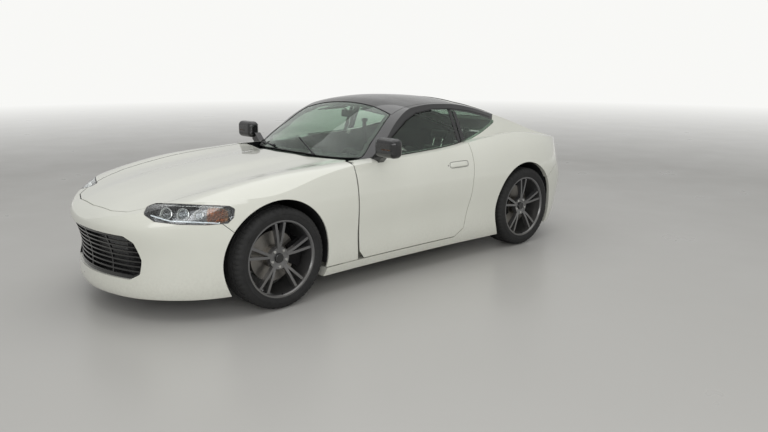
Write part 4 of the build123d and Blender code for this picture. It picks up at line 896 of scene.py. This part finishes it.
COLUMN = Vector((0, 0.92, 0.39)).normalized()
WHEEL_UP = COLUMN.cross(TO_LEFT).normalized()
if WHEEL_UP.z < 0:
    WHEEL_UP.negate()
HUB, STEERED = Vector((0.370, -0.150, 0.760)), "steering_wheel_turning"
horn = [(-0.012, 0.0), (-0.012, 0.058), (0.010, 0.060), (0.022, 0.050), (0.027, 0.03), (0.028, 0.0)]
lathe("horn_pad", horn, HUB, COLUMN, dash, STEERED, 40)
for s, tag in ((-1, "inner"), (1, "outer")):
    spot = HUB + TO_LEFT * s * 0.088 + COLUMN * 0.012
    made = slab(f"wheel_pad_{tag}", (0.036, 0.03, 0.012), (0, 0, 0), gloss, STEERED, round_by=0.4)
    made.data.transform(Matrix.Translation(spot) @ COLUMN.to_track_quat("Z", "Y").to_matrix().to_4x4())
for s, tag in ((-1, "wiper"), (1, "lights")):
    reach = ((0.03, 0.0), (0.09, 0.006), (0.15, 0.016))  # outwards, upwards
    line = [HUB - COLUMN * 0.055 + TO_LEFT * s * out + WHEEL_UP * rise for out, rise in reach]
    tube(f"stalk_{tag}", line, 0.0075, dash, smooth=True)

top, _ = hit("console", (0.05, 0.055, 1), DOWN)
LEVER = Vector((0, 0.058, top.z))
folds = [(0.056 * (1 - t) + 0.0145 * t + 0.003 * math.sin(t * 26), t) for t in np.linspace(0, 1, 22)]
gaiter = [(0.002 + 0.062 * t, r) for r, t in folds] + [(0.065, 0.0)]
collar = [(0.066, 0.0125), (0.074, 0.0135), (0.076, 0.0118)]
gear_ring = [(-0.001, 0.066), (0.006, 0.066), (0.009, 0.062), (0.006, 0.056), (-0.001, 0.056)]
cup_ring = [(-0.002, 0.041), (0.004, 0.042), (0.005, 0.039), (0.001, 0.037), (0.001, 0.0)]
lathe("gear_gaiter", gaiter, LEVER, UP, leather)
lathe("gear_collar", collar, LEVER - Vector((0, 0.008, 0)), UP, chrome)
lathe("gear_ring", gear_ring, LEVER, UP, gloss)
for number, y in enumerate((0.2, 0.3), 1):
    lathe(f"cup_ring_{number}", cup_ring, *hit("console", (0, y, 1), DOWN), gloss)
size = (0.17, 0.28, 0.045)
fixed("console_pad", "console", (0, 0.52, 1), DOWN, size, leather, out=0.012, round_by=0.45)
handbrake = [(0.07, 0.33, 0.43), (0.07, 0.24, 0.455), (0.07, 0.12, 0.50)]
tube("handbrake", handbrake, 0.012, leather, smooth=True)

# ---------------------------------------------------------------- cabin trim
for number, (x, width) in enumerate(((0.27, 0.045), (0.36, 0.06), (0.46, 0.065)), 1):
    slab(f"pedal_{number}", (width, 0.012, 0.07), (x, -0.50, 0.33), steel, turn=(-35, 0, 0), round_by=0.35)
    tube(f"pedal_arm_{number}", [(x, -0.508, 0.34), (x, -0.56, 0.45), (x, -0.555, 0.60)], 0.006, arm_iron)
mat = {"lift": 0.010, "depth": 0.008, "n": (18, 18), "power": 8.0}
cover("mat_left", "floor", (0.375, -0.36, OVER), (0.19, 0.19), DOWN, carpet, **mat)
cover("mat_right", "floor", (-0.375, -0.36, OVER), (0.19, 0.19), DOWN, carpet, **mat)
head = {"lift": 0.006, "depth": 0.006, "n": (24, 16), "power": 8.0}
cover("roof_lining", "roof_panel", (0, 0.42, 0), (0.50, 0.33), UP, lining, **head)
luggage = {"lift": 0.010, "depth": 0.008, "n": (24, 20), "power": 10.0}
cover("luggage_carpet", "rear_structure", (0, 1.42, 0.95), (0.46, 0.36), DOWN, carpet, **luggage)
card = {"lift": 0.008, "depth": 0.006, "n": (30, 16), "power": 8.0}
pair(cover("door_card_left", "door_left", (0, 0.03, 0.60), (0.44, 0.20), TO_LEFT, dash, DOOR, **card))
panel = {"lift": 0.018, "depth": 0.010, "n": (30, 10), "power": 6.0}
pair(cover("door_panel_left", "door_left", (0, 0.06, 0.70), (0.38, 0.07), TO_LEFT, suede, DOOR, **panel))
for name, place, size, finish, out in (
    ("arm_rest_left", (0, 0.22, 0.58), (0.36, 0.045, 0.05), leather, 0.025),
    ("door_pull_left", (0, -0.12, 0.70), (0.10, 0.024, 0.016), chrome, 0.034),
):
    pair(fixed(name, "door_left", place, TO_LEFT, size, finish, DOOR, out, 0.45))
pair(knob("door_speaker_left", "door_left", (0, -0.28, 0.40), TO_LEFT, 0.075, 0.012, black, DOOR))
tube("mirror_stem", [(0, 0.012, 1.222), (0, 0.04, 1.205), (0, 0.062, 1.185)], 0.006, dash)
turn = (-8, 0, -10)
slabs([
    ("inside_mirror", (0.23, 0.02, 0.062), (0, 0.07, 1.168), dash, turn, 0.45),
    ("inside_mirror_glass", (0.212, 0.003, 0.05), (-0.0018, 0.081, 1.1665), mirror_glass, turn, 0.4),
])  # fmt: skip
pair(slab("sun_visor_left", (0.34, 0.13, 0.012), (0.29, 0.155, 1.205), lining, "shell", (10, 6, 0), 0.45))

# ---------------------------------------------------------------- engine bay
BANK_X, BANK_TILT, PITCH = 0.14, 8, 0.088
for s, tag in ((-1, "right"), (1, "left")):
    tilt = (0, s * BANK_TILT, 0)
    slab(f"cam_cover_{tag}", (0.13, 0.54, 0.06), (s * BANK_X, -1.2, 0.715), rim_grey, "shell", tilt, 0.35)
    for k in range(6):
        y = -1.42 + PITCH * k
        rib = (0.10, 0.012, 0.012)
        slab(f"cam_rib_{tag}_{k + 1}", rib, (s * BANK_X, y, 0.747), rim_grey, "shell", tilt, 0.4)
        runner = [(s * 0.09, y, 0.72), (s * 0.055, y, 0.752), (0, y, 0.757)]
        tube(f"intake_runner_{tag}_{k + 1}", runner, 0.017, alloy, smooth=True)
slab("plenum", (0.10, 0.50, 0.05), (0, -1.2, 0.757), alloy, round_by=0.45)
oil_cap = [(0, 0.024), (0.012, 0.024), (0.014, 0.02), (0.014, 0.0)]
lathe("oil_cap", oil_cap, (0.15, -1.47, 0.738), UP, black, segments=10)
PULLEYS = ((0, 0.50, 0.07), (-0.13, 0.62, 0.045), (0.13, 0.62, 0.05), (0.12, 0.43, 0.035))  # x, z, radius
for number, (x, z, r) in enumerate(PULLEYS, 1):
    pulley = [(0, 0.0), (0, r), (0.006, r), (0.009, r - 0.006), (0.02, r - 0.006), (0.023, r), (0.028, r)]
    lathe(f"pulley_{number}", pulley + [(0.028, r * 0.4), (0.018, 0.0)], (x, -1.50, z), TO_NOSE, steel)
slab("battery", (0.17, 0.24, 0.17), (-0.40, -1.00, 0.66), black, round_by=0.12)
post = [(0, 0.009), (0.012, 0.008), (0.012, 0.0)]
for tag, y in (("front", -1.08), ("back", -0.92)):
    lathe(f"battery_post_{tag}", post, (-0.40, y, 0.745), UP, steel, segments=20)
slab("air_box", (0.20, 0.26, 0.13), (0.40, -1.42, 0.62), black, round_by=0.2)
for k in range(4):
    middle = (0.40, -1.50 + 0.053 * k, 0.686)
    slab(f"air_box_rib_{k + 1}", (0.17, 0.012, 0.01), middle, black, round_by=0.4)
for name, radius, *line in (
    ("air_hose", 0.03, (0.34, -1.4, 0.66), (0.26, -1.5, 0.7), (0.1, -1.5, 0.745), (0, -1.44, 0.757)),
    ("top_hose", 0.019, (0.22, -1.925, 0.52), (0.22, -1.78, 0.56), (0.16, -1.62, 0.62), (0.1, -1.5, 0.66)),
    ("bottom_hose", 0.019, (-0.24, -1.925, 0.3), (-0.24, -1.8, 0.3), (-0.2, -1.62, 0.36), (-0.14, -1.5, 0.4)),
):
    tube(name, line, radius, hose, smooth=True)
tank = [(0, 0.0), (0, 0.05), (0.012, 0.058), (0.08, 0.058), (0.10, 0.04), (0.11, 0.022)]
tank += [(0.125, 0.022), (0.125, 0.0)]
tank_cap = [(0, 0.027), (0.016, 0.027), (0.019, 0.022), (0.019, 0.0)]
brake_tank = [(0, 0.0), (0, 0.035), (0.06, 0.036), (0.07, 0.03), (0.085, 0.03), (0.085, 0.0)]
servo = [(0, 0.0), (0, 0.03), (0.015, 0.09), (0.05, 0.10), (0.085, 0.09), (0.095, 0.05)]
servo += [(0.13, 0.03), (0.13, 0.0)]
for name, profile, place, axis, finish, sides in (
    ("coolant_tank", tank, (-0.42, -1.44, 0.60), UP, clear_tank, 48),
    ("coolant_cap", tank_cap, (-0.42, -1.44, 0.722), UP, black, 12),
    ("brake_tank", brake_tank, (0.38, -0.83, 0.66), UP, clear_tank, 48),
    ("servo", servo, (0.38, -0.735, 0.60), TO_NOSE, black, 48),
):
    lathe(name, profile, place, axis, finish, "shell", sides)
pad = {"lift": 0.004, "depth": 0.006, "n": (26, 24), "power": 6.0}
cover("bonnet_pad", "bonnet", (0, -1.28, 0), (0.42, 0.40), UP, carpet, "bonnet_lid", **pad)
panel = {"lift": 0.004, "depth": 0.004, "n": (20, 4), "power": 6.0}
cover("slam_panel", "front_structure", (0, -1.86, OVER), (0.30, 0.03), DOWN, black, **panel)
tip = [(0.0, 0.0405), (0.0, 0.0455), (0.012, 0.047), (0.016, 0.0455), (0.016, 0.0405)]
pair(lathe("tip_ring_left", tip, (0.495, 2.138, 0.23), TO_TAIL, chrome))

# ---------------------------------------------------------------- camera, floor and light
CAMERA_PLACE, CAMERA_AIM, LENS = Vector((4.745, -3.797, 1.643)), Vector((0.0, 0.465, 0.233)), 34.04
# Area lights: name, place, what it points at, size and power in watts.
LIGHTS = (
    ("top_light", (0, 0, 5.0), (0, 0, 0), (7.0, 7.0), 118.0),
    ("side_light", (7.0, -3.4, 3.0), (0, 0.2, 0.5), (7.0, 2.6), 140.0),
    ("nose_light", (3.6, -7.0, 2.2), (0.3, -1.6, 0.4), (3.6, 1.8), 50.0),
)
WORLD_LIGHT = 0.56
FLOOR_FADE = 6.5, 22.0  # metres from the middle over which the floor turns into the backdrop


def aim(obj, place, target):
    """Places an object and points its -Z axis at a target."""
    obj.location = place
    obj.rotation_euler = (Vector(target) - Vector(place)).to_track_quat("-Z", "Y").to_euler()
    SCENE.collection.objects.link(obj)


camera = bpy.data.objects.new("camera", bpy.data.cameras.new("camera"))
camera.data.lens = LENS
camera.data.clip_end = 200.0
aim(camera, CAMERA_PLACE, CAMERA_AIM)
SCENE.camera = camera
for name, place, target, size, power in LIGHTS:
    data = bpy.data.lights.new(name, "AREA")
    data.shape = "RECTANGLE"
    data.size, data.size_y = size
    data.energy = power
    aim(bpy.data.objects.new(name, data), place, target)

# The world lights the car, and what the camera sees of it, straight or through glass, is the backdrop.
world = bpy.data.worlds.new("studio")
SCENE.world = world
world.use_nodes = True
sky, links = world.node_tree.nodes, world.node_tree.links
lit = sky["Background"]
lit.inputs["Color"].default_value = (1.0, 1.0, 0.99, 1.0)
lit.inputs["Strength"].default_value = WORLD_LIGHT
seen = sky.new("ShaderNodeBackground")
seen.inputs["Color"].default_value = BACKDROP
ray = sky.new("ShaderNodeLightPath")
either = sky.new("ShaderNodeMath")
either.operation = "MAXIMUM"
links.new(ray.outputs["Is Camera Ray"], either.inputs[0])
links.new(ray.outputs["Is Transmission Ray"], either.inputs[1])
choice = sky.new("ShaderNodeMixShader")
for socket, out in zip(choice.inputs, (either, lit, seen)):
    links.new(out.outputs[0], socket)
links.new(choice.outputs[0], sky["World Output"].inputs[0])

bpy.ops.mesh.primitive_circle_add(vertices=96, radius=60.0, fill_type="NGON")
floor = bpy.context.object
floor.name = "floor"
f = Finish("floor", "b5b4b0", 0.3, Specular_IOR_Level=0.35)
f.blend("b9b8b5", f.level(f.pattern("Noise", 0.35, Detail=2.0), 0.35, 0.7, 0.0, 0.6))
f.roughen(f.pattern("Noise", 1.4, Detail=4.0), 0.26, 0.4)
away = f.node("VectorMath", {0: f.place.outputs["Object"]}, operation="LENGTH").outputs["Value"]
f.swap(f.level(away, *FLOOR_FADE), f.node("Emission", {"Color": BACKDROP}).outputs[0])
floor.data.materials.append(f.material)
SCENE.view_settings.view_transform = "Standard"
